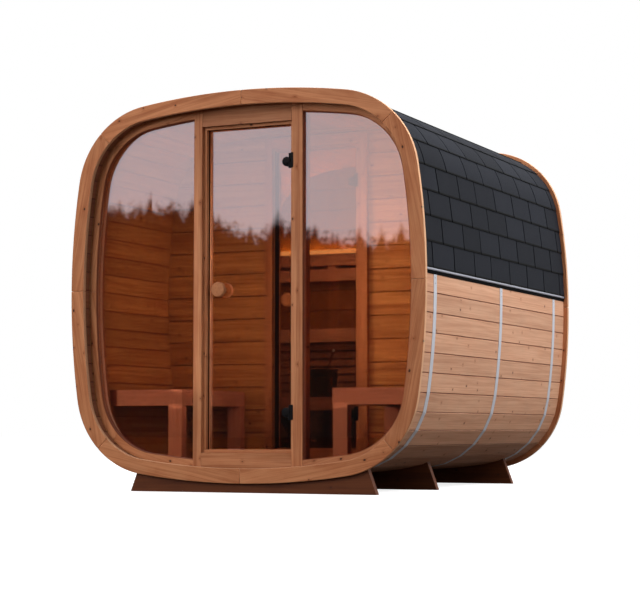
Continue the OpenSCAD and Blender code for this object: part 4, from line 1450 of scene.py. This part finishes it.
def groundMaterial():
    material, m = newMaterial("groundPale")
    path = m.add("ShaderNodeLightPath", None)
    away = m.smooth(m.vector("LENGTH", m.spot(), out="Value"), stage["near"], stage["far"])
    mirrored = m.mix(away, (0.10, 0.097, 0.092, 1), (0.008, 0.008, 0.008, 1))  # ground seen in the panes
    soft = m.mix(path["Is Glossy Ray"], (0.07, 0.045, 0.035, 1), mirrored)
    plain = m.add("ShaderNodeBsdfDiffuse", None, Color=soft)
    seen = m.add("ShaderNodeBsdfDiffuse", None, Color=(0.45, 0.45, 0.45, 1))
    lift = m.add("ShaderNodeEmission", None, Color=(1, 1, 1, 1), Strength=stage["lift"])
    shown = m.add("ShaderNodeAddShader", None, seen, lift)
    return finish(material, m, m.add("ShaderNodeMixShader", None, path["Is Camera Ray"], plain, shown))


def addFloorStage():
    mesh = bpy.data.meshes.new("ground")
    half = stage["half"]
    corners = [(-half, -half, 0), (half, -half, 0), (half, half, 0), (-half, half, 0)]
    mesh.from_pydata(corners, [], [(0, 1, 2, 3)])
    ground = bpy.data.objects.new("ground", mesh)
    bpy.context.scene.collection.objects.link(ground)
    mesh.materials.append(groundMaterial())


def skyline(m, turn, dz):  # the height of the tree line in each direction
    sway = m.add("ShaderNodeTexNoise", {"noise_dimensions": "1D"}, W=turn, Scale=24.0, Detail=2.0)
    where = m.join(turn, dz * 0.9, 0.0)
    leaf = m.add("ShaderNodeTexNoise", {"noise_dimensions": "2D"}, Vector=where, Scale=300.0, Detail=3.0)
    height = 0.1105 - (turn + 0.468) * 0.12 + (sway - 0.5) * 0.024 + (leaf - 0.5) * 0.014
    for scale, tall, slim in ((84.0, 0.009, 2.6), (45.0, 0.011, 3.2)):  # two sizes of conifer
        tree = m.add("ShaderNodeTexVoronoi", {"voronoi_dimensions": "1D"}, W=turn + 3.1, Scale=scale)
        pick = m.add("ShaderNodeSeparateColor", None, tree["Color"])
        spire = m.func("MAXIMUM", pick - tree["Distance"] * slim - (leaf - 0.5) * 0.8 - 0.12, 0.0)
        height = height + spire * tall
    return height


def addWorld():
    world = bpy.data.worlds.new("studio")
    bpy.context.scene.world = world
    world.use_nodes = True
    world.node_tree.nodes.clear()
    m = Maker(world.node_tree)
    path = m.add("ShaderNodeLightPath", None)
    dx, dy, dz = m.split(m.spot("Generated"))
    turn = m.func("ARCTAN2", dx, dy * -1.0)
    # mirrored scene in front of the glass: a pale evening sky over a dark tree line
    above = m.smooth(dz - skyline(m, turn, dz), -0.0048, 0.0048)
    evening = m.mix(m.smooth(turn, -0.48, -0.36), (0.75, 0.74, 0.83, 1), (0.79, 0.66, 0.66, 1))
    scenery = m.mix(above, (0.006, 0.006, 0.006, 1), evening)
    mirrored = m.mix(m.smooth(dy * -1.0, 0.25, 0.60), (0.85, 0.86, 0.88, 1), scenery)
    lit, mirror, white = (
        m.add("ShaderNodeBackground", None, Color=colour, Strength=strength)
        for colour, strength in (((0.97, 0.985, 1.0, 1), 0.44), (mirrored, 1.0), ((1, 1, 1, 1), 1.0))
    )
    glossy = m.add("ShaderNodeMixShader", None, path["Is Glossy Ray"], lit, mirror)
    shown = m.add("ShaderNodeMixShader", None, path["Is Camera Ray"], glossy, white)
    m.put(m.tree.nodes.new("ShaderNodeOutputWorld").inputs["Surface"], shown)


def addLamp(name, place, aim, size, power, colour=(1, 1, 1), sizeY=None, spread=180):
    data = bpy.data.lights.new(name, "AREA")
    data.spread = math.radians(spread)
    data.shape, data.size, data.size_y = "RECTANGLE", size, sizeY or size
    data.energy, data.color = power, colour
    lamp = bpy.data.objects.new(name, data)
    lamp.location = place
    lamp.rotation_euler = (Vector(aim) - Vector(place)).to_track_quat("-Z", "Y").to_euler()
    lamp.visible_camera = lamp.visible_glossy = False
    bpy.context.scene.collection.objects.link(lamp)


legLight = {"y": -1.1465, "z": 0.345, "wide": 0.092, "tall": 0.35, "power": 0.07, "spread": 70}


def addLegLamp(node, side):  # keeps the legs as light as the rails
    low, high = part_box(node)
    x, z = (low.x if side > 0 else high.x) + side * bench["legWide"] / 2, legLight["z"]
    addLamp(
        "legLamp", (x, legLight["y"], z), (x, 0, z), legLight["wide"], legLight["power"], (1, 0.97, 0.93),
        legLight["tall"], legLight["spread"],
    )


addFloorStage()
addWorld()
addLamp("sideLamp", (6.4, 0.6, 6.2), (0, 0, 1.3), 4.0, 600)
addLamp("frontLamp", (-2.6, -8.6, 4.0), (0, 0, 1.2), 5.0, 335, (1, 0.96, 0.92))
addLamp("rearLamp", (-6.5, 6.0, 4.5), (0, 0, 1.2), 5.0, 420)
addLamp("topLamp", (0.6, 0.4, 8.0), (0, 0, 1.0), 4.0, 370)
addLamp("vestibuleLamp", (0, -1.1465, 1.27), (0, 0, 1.27), 1.9, 7.6, (1, 0.97, 0.93), 1.56, 110)
addLamp("leftLamp", (0.22, -1.06, 1.15), (-1.1, -0.80, 1.1), 0.3, 4.4, (1, 0.96, 0.90), 1.3, 130)
addLegLamp("vestibule_bench_left", -1)
addLegLamp("vestibule_bench_right", 1)
addLamp("slantLamp", (-0.55, -1.12, 1.25), (0.80, -0.25, 1.15), 0.4, 6.5, (1, 0.95, 0.88), 1.3, 70)
addLamp("roomLamp", (-0.3, 0.10, 1.9), (0.2, 1.1, 1.0), 0.7, 18, (1, 0.92, 0.84), 0.5)
addLamp("warmLamp", (0, 1.172, 1.65), (0, 1.25, 1.95), 2.1, 9.0, (1, 0.80, 0.62), 0.02)
print("stage and light made")
